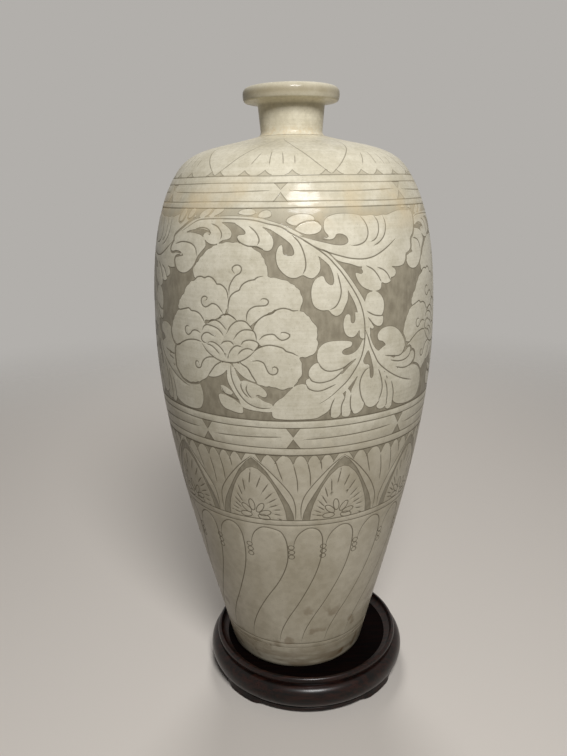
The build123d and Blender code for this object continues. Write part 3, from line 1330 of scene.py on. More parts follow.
    # Curled fronds under the stem, the long leaf beside it and the leaves at its foot
    leaves: tuple[Points, ...] = (
        ((-27.4, 308.6), (-23.6, 311.7), (-19, 313.4), (-14.3, 312.8), (-11.8, 311.7), (-10.3, 309.4),
         (-9.7, 306.6), (-10.7, 304.6), (-12.4, 301.9), (-13.6, 299.6), (-14.7, 296.1), (-16.7, 292.8),
         (-19, 290.8), (-21.3, 290.4), (-23.6, 291.3), (-25.3, 293.8), (-25.9, 298), (-23.6, 299.2),
         (-20.9, 300), (-22.8, 302.3), (-25.9, 303), (-28.2, 302.3), (-29.7, 303.4)),
        ((-19, 314.8), (-14.3, 317.2), (-9, 318.9), (-3.6, 319.1), (-1.3, 317.4), (0.3, 315.5),
         (1.1, 313.4), (0.7, 311.2), (-0.7, 310.2), (-2.6, 309.7), (-4, 308.2), (-5.9, 307.4),
         (-8.2, 308), (-10.1, 309.9), (-11.1, 312.2), (-9.7, 313.8), (-7.8, 313.4), (-9, 314.9),
         (-12, 315.8), (-15.1, 315.5)),
        ((2.2, 319.4), (5.3, 316.4), (6.7, 314.1), (6.2, 312.8), (4.3, 312.5), (3.4, 311.5), (3.9, 309.5),
         (5.5, 307.9), (7.6, 306.7), (9.7, 306.5), (11.2, 306.3), (13.2, 304.8), (15.1, 304.3),
         (16.3, 305.9), (16.7, 308.9), (16, 312), (14.1, 315.1), (11, 318.1), (6.4, 319.5)),
        ((15.3, 316.4), (18.7, 312.8), (21.4, 309.9), (23.3, 306.9), (24.1, 303), (23.3, 301.3),
         (21.2, 301.5), (20.1, 302.6), (19.8, 306.9), (19.1, 306.9), (18.2, 304.8), (17.8, 301.1),
         (18.3, 296.5), (19.9, 292.7), (22.2, 290), (24.5, 289.6), (26.8, 291), (28.7, 289.6),
         (30.3, 289.2), (31.9, 291.2), (32.8, 294.2), (32.6, 299.2), (31.2, 303.8), (29.1, 307.6),
         (26.4, 311.1), (22.6, 314.1), (19.1, 315.7)),
        ((32.2, 303.4), (34.9, 298.7), (36.8, 293.5), (37.7, 288.1), (37.2, 284.9), (35.8, 285.2),
         (34.5, 287.3), (33.7, 290), (31.4, 288.7), (30.1, 285), (29.7, 280.8), (30, 276.2), (31, 273.1),
         (33.2, 271.2), (35.5, 271.1), (36.6, 269.1), (38.3, 267.6), (40.1, 269.1), (41.2, 272.4),
         (42.3, 276.2), (42.5, 280.4), (42, 284.3), (41, 288.1), (38.7, 295), (35.7, 300.3)),
        ((46.4, 267.4), (45.2, 268.9), (45.3, 265.1), (44.7, 262.6), (43.5, 263.2), (43.2, 267.4),
         (41.9, 267.8), (41, 264.7), (40.9, 260.9), (41.6, 257), (43.2, 254.9), (44.9, 255.1),
         (46.4, 257.8), (47.3, 261.3)),
        ((48.3, 252.1), (46.9, 248.6), (45.3, 245.8), (43, 244.4), (40.8, 244.8), (40.2, 246.6),
         (41.2, 248.2), (43.5, 249.4), (43.9, 251.7), (41, 252.8), (36.8, 253), (33.9, 251.9), (32, 249),
         (31.5, 245.2), (31.9, 241), (33, 237.9), (34.9, 235.8), (37.6, 235.6), (41, 237.1),
         (44.1, 240.6), (46.4, 242.9), (47.8, 245.9)),
        ((31.9, 240.7), (29.9, 239.4), (28.7, 236.4), (28.7, 232.9), (29.7, 230.2), (32.2, 228.9),
         (34.9, 229.4), (37.6, 231), (41, 235.6), (37.6, 238.3)),
        ((28.3, 231.5), (27.7, 228.3), (28.5, 225.6), (30.7, 224), (33, 224), (35.3, 225.3), (38, 227.2),
         (41.4, 233.3), (34.9, 231.4)),
        ((27.7, 227.9), (26, 228.5), (23.7, 227.2), (21.4, 223.7), (19.5, 220.3), (18.2, 219),
         (16.4, 216.1), (15.7, 213), (15.5, 209.5), (16.2, 207.4), (19.5, 206.6), (24.1, 206.5),
         (30.7, 206.9), (33, 208.4), (35.3, 210.7), (36.4, 213), (37.8, 218.4), (41, 221.4),
         (44.1, 226.8), (47.2, 233.7), (48.9, 240.6), (50.4, 251), (48, 252), (46.4, 243), (42.6, 236.7),
         (38, 229.1), (33, 225)),
        ((37.8, 218.4), (36.8, 214.5), (36.4, 210.7), (36.6, 207.6), (38, 206.3), (39.5, 206.9),
         (40.5, 209.9), (40.7, 213.8), (41.6, 218.4), (40, 222)),
        ((41.8, 218.4), (40.7, 214.5), (40.5, 210.7), (40.8, 207.6), (42.2, 206.3), (43.5, 206.5),
         (44.1, 208.4), (44.1, 213.8), (44.5, 219), (42.5, 224)),
        ((44.1, 219.9), (43.9, 215.3), (44.3, 210.7), (45.3, 208), (46.8, 207.6), (48.5, 209.2),
         (49.5, 212.2), (49.1, 216.1), (48, 221.4), (46, 227)),
        ((48.9, 244.4), (48, 236.7), (46, 229.1), (44.1, 221.4), (46, 215.3), (48.7, 215.3),
         (50.3, 212.1), (52.2, 210.2), (54.3, 210.7), (56, 213.1), (58, 217.6), (59.5, 224.5),
         (57.2, 232.9), (54.1, 238.3), (52.2, 244.4), (51, 252)),
        ((56.4, 213), (55.3, 210.3), (56, 208.4), (57.6, 207.6), (59.1, 208.4), (59.9, 210.7),
         (60.1, 215.3), (59.5, 221.4), (58.3, 226)),
        ((60.3, 210.7), (59.5, 208.4), (60.3, 206.9), (61.8, 206.5), (63, 209.2), (63.3, 213.8),
         (63, 218.4), (61.8, 224), (59.5, 226)),
        ((54.4, 253.2), (54.9, 255.7), (56.6, 257.6), (59.3, 258.2), (62, 257.3), (64.3, 255),
         (66.2, 251.7), (67.7, 247.9), (68.2, 244), (67.4, 241), (65.3, 239.2), (62.2, 239.7), (58, 241),
         (54.1, 243), (56.6, 246.2), (58.1, 247.5), (56.6, 250.2), (55, 251)),
        ((63.7, 239), (68.3, 240.6), (70.7, 242.9), (72, 241.3), (71.6, 238.3), (69.9, 236.4),
         (67.2, 235.6), (64.1, 236), (60.7, 237.5)),
        ((64.1, 235.6), (69.5, 236), (72.6, 239.8), (74.5, 238.3), (74.5, 234.4), (73, 231.8),
         (69.9, 230.6), (66.8, 231), (63.7, 232.5)),
        ((58, 232.9), (63.7, 231.5), (69.5, 230.4), (74.1, 230.6), (78, 228.3), (80.7, 223.7),
         (81.8, 217.6), (81, 211.5), (78.7, 207.6), (73.3, 206.6), (67.6, 207.6), (63.7, 210.7),
         (63.3, 217.6), (60.3, 225.3)),
        ((50.7, 255.1), (51.8, 250.5), (54.1, 245.2), (58, 242.9), (60.7, 239.8), (64.1, 236),
         (63.7, 231), (58, 231.5), (54.1, 237), (51.8, 244), (49.5, 252.1)),
        ((49.5, 276.6), (50.3, 278.9), (52.2, 279.7), (54.1, 279.3), (56, 276.6), (57, 272.8),
         (56.8, 268.2), (55.7, 265.5), (53.7, 265.5), (51.8, 267), (49.5, 269), (48.7, 272)),
        ((50, 268.6), (52.2, 266.6), (54.1, 265.6), (56.4, 265.1), (56.6, 262), (55.7, 259.7),
         (54.1, 259.7), (52.6, 261.3), (51, 263.6)),
        ((50.3, 265.1), (51.8, 262), (52.6, 259.7), (52.2, 258.2), (51, 259.4), (49.9, 262)),
        ((27.2, 309.7), (31, 306.5), (35.7, 303.4), (39, 298.5), (44.1, 296.1), (47.2, 294.4),
         (49.9, 294.6), (54.1, 293.3), (58, 294.6), (61.8, 293.1), (64.9, 292.7), (67.6, 293.5),
         (68.9, 295.7), (69.5, 299.2), (71.4, 300.5), (73, 302.6), (73.3, 305.7), (73.9, 308.6),
         (75.7, 310.7), (77, 314.1), (77.8, 318), (78, 321.8), (76.8, 324), (74.9, 323.7), (71.4, 324.1),
         (68, 323.9), (64.9, 323), (61.8, 321.8), (59.5, 322), (56.4, 321.4), (54.1, 322.1),
         (51.4, 321.8), (49.1, 322), (47.2, 322.7), (44.1, 323.2), (40.3, 323.2), (37.2, 322.2),
         (35.3, 320.3), (34.7, 317.2), (35.1, 314.1), (36.4, 311.5), (34.9, 310.3), (31, 310.8)),
        ((45.7, 290.8), (46.4, 286.9), (48, 283.5), (50.3, 281.3), (53, 280), (55.7, 281), (56.2, 284.6),
         (58, 283.7), (60.3, 284.6), (60.5, 286.7), (62.2, 287.2), (63.3, 289.2), (62.6, 291.5),
         (59.5, 293.8), (54.1, 294.6), (49.5, 294.6), (48, 293.3), (48.7, 291.3), (47.8, 290)),
        ((-14.2, 322.4), (-13.2, 324.6), (-11.2, 326.3), (-9.2, 327), (-8.5, 326.2), (-9.3, 324.4),
         (-10.9, 322.9), (-12.6, 322.1)),
        ((-9.6, 322.5), (-7.9, 324.7), (-6.7, 326.6), (-2.9, 326.9), (-3.5, 325.6), (-5.5, 323.8),
         (-7.2, 322.9)),
        ((3.3, 324.5), (4.6, 326), (7.2, 326.6), (9.3, 326), (9.9, 324.5), (8.5, 323.6), (5.7, 323.5)),
        ((24.3, 315.8), (25.8, 318.2), (28.9, 319.8), (32.2, 319.6), (33.7, 317.4), (33.4, 314.8),
         (31.2, 313.1), (28, 313)),
        ((-20.5, 321.9), (-19.7, 324.7), (-18.5, 326.8), (-17.4, 327), (-16.9, 325.7), (-17.6, 323.6),
         (-19, 322)),
        ((-26, 320), (-25.4, 323.5), (-24.1, 326.5), (-22.8, 327), (-22.2, 325.7), (-22.9, 322.9),
         (-24.2, 320.3)),
        ((21.4, 319.9), (22.8, 322.1), (25.4, 323.4), (28.6, 323.4), (30.8, 322.2), (31.4, 320.4),
         (29, 319.8), (26.3, 318.7), (24.2, 317.6)),
        ((11, 322.6), (12, 324.8), (14, 325.8), (15.6, 324.9), (15.7, 322.9), (13.6, 321.9)),
    )
    # Where one leaf lies over the next, in the same way
    leaf_edges: tuple[Run, ...] = (
        (6, 14, 19), (7, 3, 8), (8, 1, 6), (10, 0, 3), (11, 0, 3), (12, 0, 3), (14, 5, 8), (15, 4, 7),
        (16, 8, 12), (17, 3, 8), (18, 4, 8), (22, 0, 3), (23, 0, 2), (2, 5, 11), (29, 0, 4),
    )
    # Comma-shaped hollows cut through the leaves
    hollows: tuple[Points, ...] = (
        ((25.7, 312.2), (30.7, 309.6), (34.9, 307.9), (38.3, 306.6), (41.4, 306.3), (43.3, 307.6),
         (43.5, 309.7), (42.6, 311.7), (40.8, 312.8), (39.1, 312.6), (38.3, 310.7), (36.4, 309.9),
         (31, 311.2)),
        ((50.3, 245.9), (48.9, 242.1), (48.4, 239.4), (49.3, 237.5), (50.8, 237), (51.2, 232.9),
         (51.5, 229.2), (52.3, 228.3), (53, 230.2), (52.9, 234.1), (52.1, 239), (51.2, 243.6)),
    )
    # The small overlapping petals of the flower's heart
    heart_lines: tuple[Points, ...] = (
        ((-3.8, 265.1), (-2, 267.8), (0.3, 268.3), (2.2, 267), (3.5, 265.1)),
        ((-8.2, 262), (-6.8, 264), (-5.1, 264.5), (-3.2, 263.6), (-1.3, 260.9), (-0.5, 259)),
        ((-0.3, 257.4), (1, 261.3), (3, 264.2), (4.9, 265.1), (6.8, 264.7), (8.3, 262.4), (9.1, 260.5)),
        ((-10.7, 257.8), (-10.1, 260.1), (-8.6, 261.3), (-6.3, 260.9), (-4, 259.7), (-2.4, 257.4),
         (-1.7, 255.5)),
        ((2.4, 254.4), (3.7, 257.4), (5.7, 259.7), (8, 260.1), (9.7, 259.4), (10.5, 256.7), (10.6, 254)),
        ((-5.3, 254.8), (-6.7, 255.7), (-8.2, 256.7), (-10.1, 255.9), (-11.3, 253.6), (-11.3, 252.1),
         (-10.5, 250.7), (-9, 250.2)),
        ((4.9, 250.9), (6, 253.2), (8, 254.2), (10.3, 253.6), (11.4, 252.1), (11.2, 250.5), (9.7, 247.9)),
        ((-7.8, 251.3), (-5.9, 251.3), (-4, 249.8), (-2.4, 247.5), (-1.7, 245.6)),
        ((-2.8, 250.5), (-1.7, 252.2), (0.3, 252.8), (1.6, 252.1), (2.2, 250.5)),
        ((0.1, 244.8), (1, 247.5), (2.4, 249.8), (3.7, 250.5), (5.3, 249.8)),
        ((3.7, 245.2), (4.9, 247.5), (6.6, 249), (8.3, 249), (9.5, 247.9)),
        ((-9, 249.8), (-7.4, 249.4), (-5.9, 248.2), (-4.3, 245.9), (-3.6, 244.4)),
    )
    # The hooked curl on each big petal
    curls: tuple[Points, ...] = (
        ((0.8, 279.7), (0.8, 283.5), (1.8, 287.3), (3.3, 290.4), (4.9, 291.9), (5.5, 294.2), (4.7, 296.1),
         (3, 296.1), (1.8, 294.2), (2.8, 291.5)),
        ((-1.5, 268.2), (-2.8, 271.2), (-4.3, 273.4), (-6.3, 273.9), (-7.8, 272.4), (-9.3, 271.6),
         (-10.7, 273.1), (-11, 275.8), (-10.1, 277.5), (-8.6, 277.7), (-8.3, 276.2), (-9.2, 275.4)),
        ((7.2, 265.1), (7.4, 268.9), (8.3, 271.6), (10.3, 273.5), (12.6, 273.9), (14.3, 274.3),
         (15.1, 276.2), (14.5, 277.7), (13, 278), (12.2, 277)),
        ((-11.7, 255.9), (-13.6, 257.1), (-15.5, 256.7), (-17, 254.4), (-18.2, 253.6), (-19.5, 255.1),
         (-19.5, 257.8), (-18.4, 259.1), (-17.2, 258.6)),
        ((11.6, 254.4), (13, 256.7), (14.9, 257.8), (16.8, 257.8), (18, 255.9), (19.5, 254.5),
         (21.4, 255.5), (22.3, 257.4), (21, 258.8), (19.3, 259), (19.1, 257.8)),
        ((-5.5, 242.1), (-7.8, 242.1), (-10.1, 240.6), (-11.7, 237.5), (-12.4, 234.8), (-14, 234.1),
         (-14.9, 235.6), (-14.7, 237.9), (-13.6, 238.4), (-13.2, 236.7)),
        ((9.1, 241.7), (11, 242.3), (13, 241), (13.9, 237.9), (14.7, 235.2), (16.2, 234.1), (17.6, 235.2),
         (17.9, 237.5), (17, 238.9), (16, 238.3), (16, 237.1)),
    )
    # Veins of the stem and the folds of its leaves
    leaf_lines: tuple[Points, ...] = (
        ((0.8, 238.3), (0.7, 233.7), (1.2, 229.1), (2.6, 223.7), (4.5, 219.1), (6.8, 215.7), (9.5, 213.8),
         (12.2, 213.1), (14.9, 213.5)),
        ((6.6, 226.8), (6.2, 224.5), (7, 221.4), (8.3, 219.1)),
        ((4.5, 228.3), (4.3, 226), (5.3, 222.2), (7, 219.5)),
        ((-3.6, 224.5), (-2.8, 221.4), (-1.3, 219.9), (1, 218.4), (3, 217.2)),
        ((-23.2, 314.1), (-20.5, 316.1), (-15.1, 320.1), (-10.5, 321.2), (-1.3, 321.4), (8, 320.9),
         (14.5, 318.7), (19.5, 316.8), (22.6, 313.8), (26.4, 310.7), (29.5, 307.6), (32.6, 304.2),
         (35.7, 300.3), (38.3, 295.7), (40.3, 291.9), (42.6, 286.6), (44.9, 280.8), (46.8, 275.1),
         (48, 269.7), (48.7, 264.3), (49, 258.2), (48.9, 252.1), (48.3, 245.9), (47.2, 240.6),
         (45.3, 235.2), (42.6, 229.1), (39.1, 223.7), (35.7, 219.1), (32.2, 215.7)),
        ((49.1, 258.2), (50.3, 253.6), (51.4, 248.2), (53, 242.9), (54.9, 237.5), (58, 232.9),
         (61.8, 228.7), (66.4, 224.9), (70.3, 222.6), (74.5, 220.7)),
        ((-26.7, 306.5), (-22.8, 308), (-19, 307.9), (-16.3, 306.9), (-14.5, 304.6), (-13.6, 300.2)),
        ((-7.8, 318.6), (-5.1, 317.2), (-3.4, 314.5), (-2.9, 312.2), (-3.4, 309.9)),
        ((-15.1, 315.7), (-12, 316.4), (-9.3, 315.7), (-7.9, 313.8), (-8.2, 312.6), (-9, 313)),
        ((8, 317.2), (9.9, 314.9), (11.2, 312.2), (11.7, 309.5), (11, 307.2)),
        ((23.3, 312.5), (25.7, 308.6), (27.2, 303.4), (27.9, 298), (27.7, 294.2), (26.8, 291.2)),
        ((38.9, 291.2), (39.7, 285.8), (40.1, 281.2), (39.5, 276.6), (38, 272.8), (36, 271.1)),
        ((27.2, 309.5), (31, 306.1), (34.9, 303.4), (39.5, 301), (44.1, 299.1), (48.7, 298.4),
         (52.6, 299.1), (56.4, 301.3), (60.3, 304.5), (64.5, 308.4)),
        ((49.1, 321.8), (50.8, 318.7), (51.7, 314.9), (51.5, 311.1), (50.1, 308), (47.6, 306.3),
         (44.9, 305.9)),
        ((55.3, 321.4), (56.6, 318.7), (56.7, 314.9), (56, 311.5), (54.5, 308.8), (52.6, 307.6)),
        ((59.5, 321.4), (60.2, 318), (59.9, 314.1), (58.7, 310.3), (56.4, 307.2), (53.7, 305.3)),
        ((50.1, 294.4), (52.6, 292.3), (54.7, 288.7), (56.2, 284.6)),
        ((54.9, 293.1), (57.6, 291.2), (59.5, 288.2), (60.3, 285.4)),
        ((51.2, 235.1), (49.7, 234.3), (48.2, 231), (47.4, 226.4), (47.7, 221), (48.7, 216.1),
         (50.1, 212.6)),
        ((55.1, 233.3), (56.4, 228.3), (57.3, 222.2), (57, 217.6), (56, 213.4)),
    )

    def carve(self) -> None:
        """Draws every flower with its scroll; the last one lies over its neighbours."""
        greenery = [self.stem, *self.leaves]
        petal_edges = self.edges(self.petals, self.petal_edges)
        leaf_edges = self.edges(self.leaves, self.leaf_edges)
        lines = [*petal_edges, *leaf_edges, *self.curls, *self.heart_lines, *self.leaf_lines]
        for centre, stretch in zip(self.bearings, self.stretches):
            motif = {"centre": centre, "stretch": stretch}
            for outline in [*greenery, *self.petals]:
                self.band.fill(outline, Tone.GROUND, grow=self.clearance, **motif)
            for outline in greenery:
                self.band.fill(outline, Tone.SLIP, **motif)
            for number, outline in enumerate(self.petals):
                frill = self.ruffle if number < self.big_petals else 0.0
                self.band.fill(outline, Tone.SLIP, ruffle=frill, **motif)
            for outline in self.hollows:
                self.band.fill(outline, Tone.GROUND, **motif)
            for line in lines:
                self.band.line(line, **motif)

    def edges(self, outlines: Sequence[Points], runs: Sequence[Run]) -> list[Points]:
        """Runs of closed outlines that lie over their neighbours.

        Args:
            outlines: the outlines.
            runs: an outline's number, and the numbers of the run's first and last point.

        Returns:
            One line for each run.
        """
        lines = []
        for number, first, last in runs:
            outline = outlines[number]
            lines.append([outline[index % len(outline)] for index in range(first, last + 1)])
        return lines


@dataclass
class ArchFrieze:
    """Pointed arches with combed fields, fans of petals between them and a panelled border above."""

    band: CarvedBand
    arches: tuple[float, ...] = (-54.5, -18.3, 18.5, 57.0, 92.5, 128.0, 163.5, 199.0, 234.5, 270.0)
    separators: tuple[float, ...] = (-36.7, -1.6, 43.5, 83.5, 123.5, 163.5, 203.5, 243.5, 283.4)
    usual_gap: float = 37.0
    floor_line: float = 135.0
    arch_line: float = 182.5
    border_low: float = 187.3
    border_high: float = 200.8
    hollow_half: float = 2.8
    panel_line: tuple[float, ...] = (-0.9, 0.0, 0.9)
    arch_line_width: float = 1.5
    outline_gap: float = 1.2
    comb_strokes: int = 17
    comb_spread: float = 98.0
    comb_length: float = 9.0
    comb_width: float = 1.3
    comb_trace: float = 0.5
    comb_inset: float = 0.95
    comb_margin: float = 1.0
    comb_stagger: float = 1.2
    comb_shorter: float = 0.55
    comb_lean: float = 4.0
    # One side of an arch, from its tip down: the outline, the dark band inside it and the field
    outer_side: Points = (
        (0, 181), (4.5, 175), (8.5, 168.5), (13, 160), (16, 152.5), (18, 145), (19.3, 138), (19.6, 135.4),
    )
    band_side: Points = (
        (0, 180.2), (2.4, 177.3), (6, 170.5), (9.4, 161.5), (12, 154.5), (14.5, 147.5), (16.2, 140.5),
        (16.8, 135.2),
    )
    field_side: Points = (
        (0, 173), (2.2, 172), (5.2, 167.6), (7.2, 163), (8.9, 158), (10.4, 152.5), (11.8, 147), (12.8, 141),
        (13.2, 135.2),
    )
    # The small flower: the direction of each petal from the hub, and how far out its middle lies
    flower_hub: Point = (-1.0, 137.6)
    flower: Points = ((139, 7.2), (100, 7.8), (54, 7.2), (16, 7.8), (180, 6.2), (-9, 6.6))
    petal_length: float = 4.3
    petal_width: float = 1.95
    petal_points: int = 12
    petal_line: float = 1.1
    # The fan between two arches: its folds, the notches between its domes and the domes' shape
    fan_lines: tuple[Points, ...] = (
        ((-8.8, 178.5), (-7.5, 171), (-6.3, 165)),
        ((-1.7, 175.5), (-0.4, 165), (-0.2, 156.5)),
        ((3.8, 177), (4.8, 169), (5, 160.5)),
        ((9, 178), (9.4, 172)),
    )
    fan_notches: Points = (
        (-14.6, 176.0), (-8.9, 177.0), (-1.8, 174.5), (3.7, 176.0), (8.8, 177.0), (14.0, 176.5),
    )
    strip_low: float = 176.5
    strip_flare: float = 2.4
    dome_gap: float = 0.4
    dome_foot: float = 0.05
    dome_side: Points = ((0.14, 3.0), (0.31, 0.7))
    dome_root: float = 6.0

    def carve(self) -> None:
        """Draws the frieze and its border."""
        band = self.band
        following = [*self.arches[1:], self.arches[0] + FULL_TURN]
        for centre, after in zip(self.arches, following):
            stretch = (after - centre) / self.usual_gap
            self.fan((centre + after) / 2, stretch)
        gaps = np.diff([self.arches[-1] - FULL_TURN, *self.arches, following[-1]])
        for centre, before, after in zip(self.arches, gaps, gaps[1:]):
            self.arch(centre, before / 2, after / 2)
        middle = (self.border_low + self.border_high) / 2
        levels = (self.border_low, middle, self.border_high)
        panelled_border(band, self.separators, levels, self.hollow_half, self.panel_line)
        band.ring(self.arch_line, self.arch_line_width)
        for height in (self.floor_line, self.border_low, self.border_high):
            band.ring(height)

    def arch(self, centre: float, left_room: float, right_room: float) -> None:
        """One arch: an outlined pale band, a dark band inside it, and a combed field with a small flower.

        Args:
            centre: its bearing.
            left_room: how far it is to the middle of the gap on its left, in degrees.
            right_room: the same on its right.
        """
        self.band.fill(both_sides(self.band_side), Tone.GROUND, centre, sharp=True)
        self.band.fill(both_sides(self.field_side), Tone.SLIP, centre, sharp=True)
        for side, room in ((-1, left_room), (1, right_room)):
            reach = room - self.outline_gap
            outline = [(side * min(across, reach), height) for across, height in self.outer_side]
            self.band.line(outline, centre)
        self.comb(centre)
        for bearing, distance in self.flower:
            self.petal(centre, math.radians(bearing), distance)

    def comb(self, centre: float) -> None:
        """Strokes that run from just inside the arch's outline towards the flower.

        Args:
            centre: the arch's bearing.
        """
        hub = np.array(self.flower_hub)
        field_outline = np.array(both_sides(self.field_side), float)
        outline = smooth_path(field_outline, False, self.comb_trace) - hub
        outline[:, 0] *= self.band.scale
        angles = np.degrees(np.arctan2(outline[:, 0], outline[:, 1]))
        reaches = np.hypot(outline[:, 0], outline[:, 1])
        order = np.argsort(angles)
        strokes = np.linspace(-self.comb_spread, self.comb_spread, self.comb_strokes)
        for number, angle in enumerate(strokes):
            reach = float(np.interp(angle, angles[order], reaches[order]))
            away = abs(angle) / self.comb_spread
            stagger = self.comb_stagger if number % 2 else 0
            outer = reach * self.comb_inset - self.comb_margin - stagger
            inside = outer - self.comb_length * (1 - self.comb_shorter * away)
            ends = []
            for bearing, distance in ((angle, outer), (angle - self.comb_lean, inside)):
                across = math.sin(math.radians(bearing)) * distance / self.band.scale
                ends.append((hub[0] + across, hub[1] + math.cos(math.radians(bearing)) * distance))
            self.band.line(ends, centre, width=self.comb_width)

    def petal(self, centre: float, direction: float, distance: float) -> None:
        """One outlined oval petal of the small flower.

        Args:
            centre: the arch's bearing.
            direction: which way it points from the flower's hub, in radians from the horizontal.
            distance: how far its middle lies from the hub.
        """
        along, aside = oval(self.petal_length, self.petal_width, self.petal_points)
        along += distance
        across = (along * math.cos(direction) - aside * math.sin(direction)) / self.band.scale
        rise = along * math.sin(direction) + aside * math.cos(direction)
        places = paired(self.flower_hub[0] + across, self.flower_hub[1] + rise)
        self.band.line(places, centre, width=self.petal_line, closed=True)

    def fan(self, centre: float, stretch: float) -> None:
        """The fan of rounded petals between two arches, with ground showing between their tops.

        Args:
            centre: the fan's bearing.
            stretch: how much wider it is drawn.
        """
        first, last = self.fan_notches[0][0], self.fan_notches[-1][0]
        strip_corners = [
            (first - self.strip_flare, self.arch_line), (last + self.strip_flare, self.arch_line),
            (last, self.strip_low), (first, self.strip_low),
        ]
        self.band.fill(strip_corners, Tone.GROUND, centre, stretch, sharp=True)
        top = self.arch_line - self.dome_gap
        root = self.strip_low - self.dome_root
        for (left, left_foot), (right, right_foot) in zip(self.fan_notches, self.fan_notches[1:]):
            width = right - left
            rising = [(left + share * width, top - drop) for share, drop in self.dome_side]
            falling = [(right - share * width, top - drop) for share, drop in self.dome_side[::-1]]
            dome = [
                (left + self.dome_foot * width, left_foot), *rising, (left + width / 2, top), *falling,
                (right - self.dome_foot * width, right_foot), ((left + right) / 2, root),
            ]
            self.band.fill(dome, Tone.SLIP, centre, stretch)
        for line in self.fan_lines:
            self.band.line(line, centre, stretch)


def panelled_border(
    band: CarvedBand,
    separators: Sequence[float],
    levels: tuple[float, float, float],
    half: float,
    rises: Sequence[float],
    tip_gap: float = 0.4,
    margin: float = 4.0,
) -> None:
    """Cuts hollows like hourglasses round a band, and a line along each panel between them.

    Args:
        band: the band to cut.
        separators: the hollows' bearings.
        levels: the heights of the border's lower edge, of the hollows' waists and of its upper edge.
        half: half the width of a hollow, in degrees.
        rises: how far the line lies above the waists at its start, its middle and its end.
        tip_gap: half the height of a waist.
        margin: how far the line keeps from the hollows, in degrees.
    """
    low, middle, high = levels
    following = [*separators[1:], separators[0] + FULL_TURN]
    for centre, after in zip(separators, following):
        for base, tip in ((low, middle - tip_gap), (high, middle + tip_gap)):
            band.fill([(-half, base), (half, base), (0.0, tip)], Tone.GROUND, centre, sharp=True)
        bearings = np.linspace(centre + margin, after - margin, len(rises))
        band.line([(bearing, middle + rise) for bearing, rise in zip(bearings, rises)])


@dataclass
class LeafPanels:
    """Round-topped leaves above the foot, each with an S-shaped edge, and beads between them."""

    band: CarvedBand
    tops: tuple[float, ...] = (-48.8, -33.0, -15.0, 5.8, 21.3, 38.3)
    count: int = 21
    foot_line: float = 24.5
    broad_leaf: int = 2
    broad_bulge: float = 4.2
    broad_height: float = 104.0
    broad_reach: float = 38.0
    bead_radius: float = 1.8
    bead_points: int = 8
    bead_line: float = 1.0
    beads: Points = ((-9.2, 113.2), (-9.0, 109.3), (-9.1, 105.4))
    arc: Points = ((-8.0, 112), (-7.6, 117.5), (-5.8, 123.5), (-2.6, 127.8), (0.6, 128.8))
    edge: Points = (
        (3.6, 126.6), (5.4, 121.5), (5.9, 114.5), (5.7, 105), (4.7, 97), (2.9, 88.5), (0.2, 79.5),
        (-3.2, 70), (-6.9, 61), (-11.2, 52), (-14.6, 44), (-17.0, 37.5), (-18.6, 31), (-19.2, 26.5),
    )

    def carve(self) -> None:
        """Draws every leaf and its beads."""
        left = self.count - len(self.tops)
        gap = (self.tops[0] + FULL_TURN - self.tops[-1]) / (left + 1)
        tops = [*self.tops, *(self.tops[-1] + gap * (number + 1) for number in range(left))]
        for number, top in enumerate(tops):
            bulge = self.broad_bulge if number == self.broad_leaf else 0.0
            self.band.line([*self.arc, *(self.fuller(point, bulge) for point in self.edge)], top)
            for place, height in self.beads:
                self.bead(top + place, height)
        self.band.ring(self.foot_line)

    def fuller(self, point: Point, bulge: float) -> Point:
        """A point of a leaf's edge, moved out where the leaf is broadest."""
        away = (point[1] - self.broad_height) / self.broad_reach
        return point[0] + bulge * max(0.0, 1 - away**2), point[1]

    def bead(self, bearing: float, height: float) -> None:
        """One small incised ring.

        Args:
            bearing: its middle's bearing.
            height: its middle's height.
        """
        across, rise = oval(self.bead_radius, self.bead_radius, self.bead_points)
        places = paired(across / self.band.scale, height + rise)
        self.band.line(places, bearing, width=self.bead_line, closed=True)


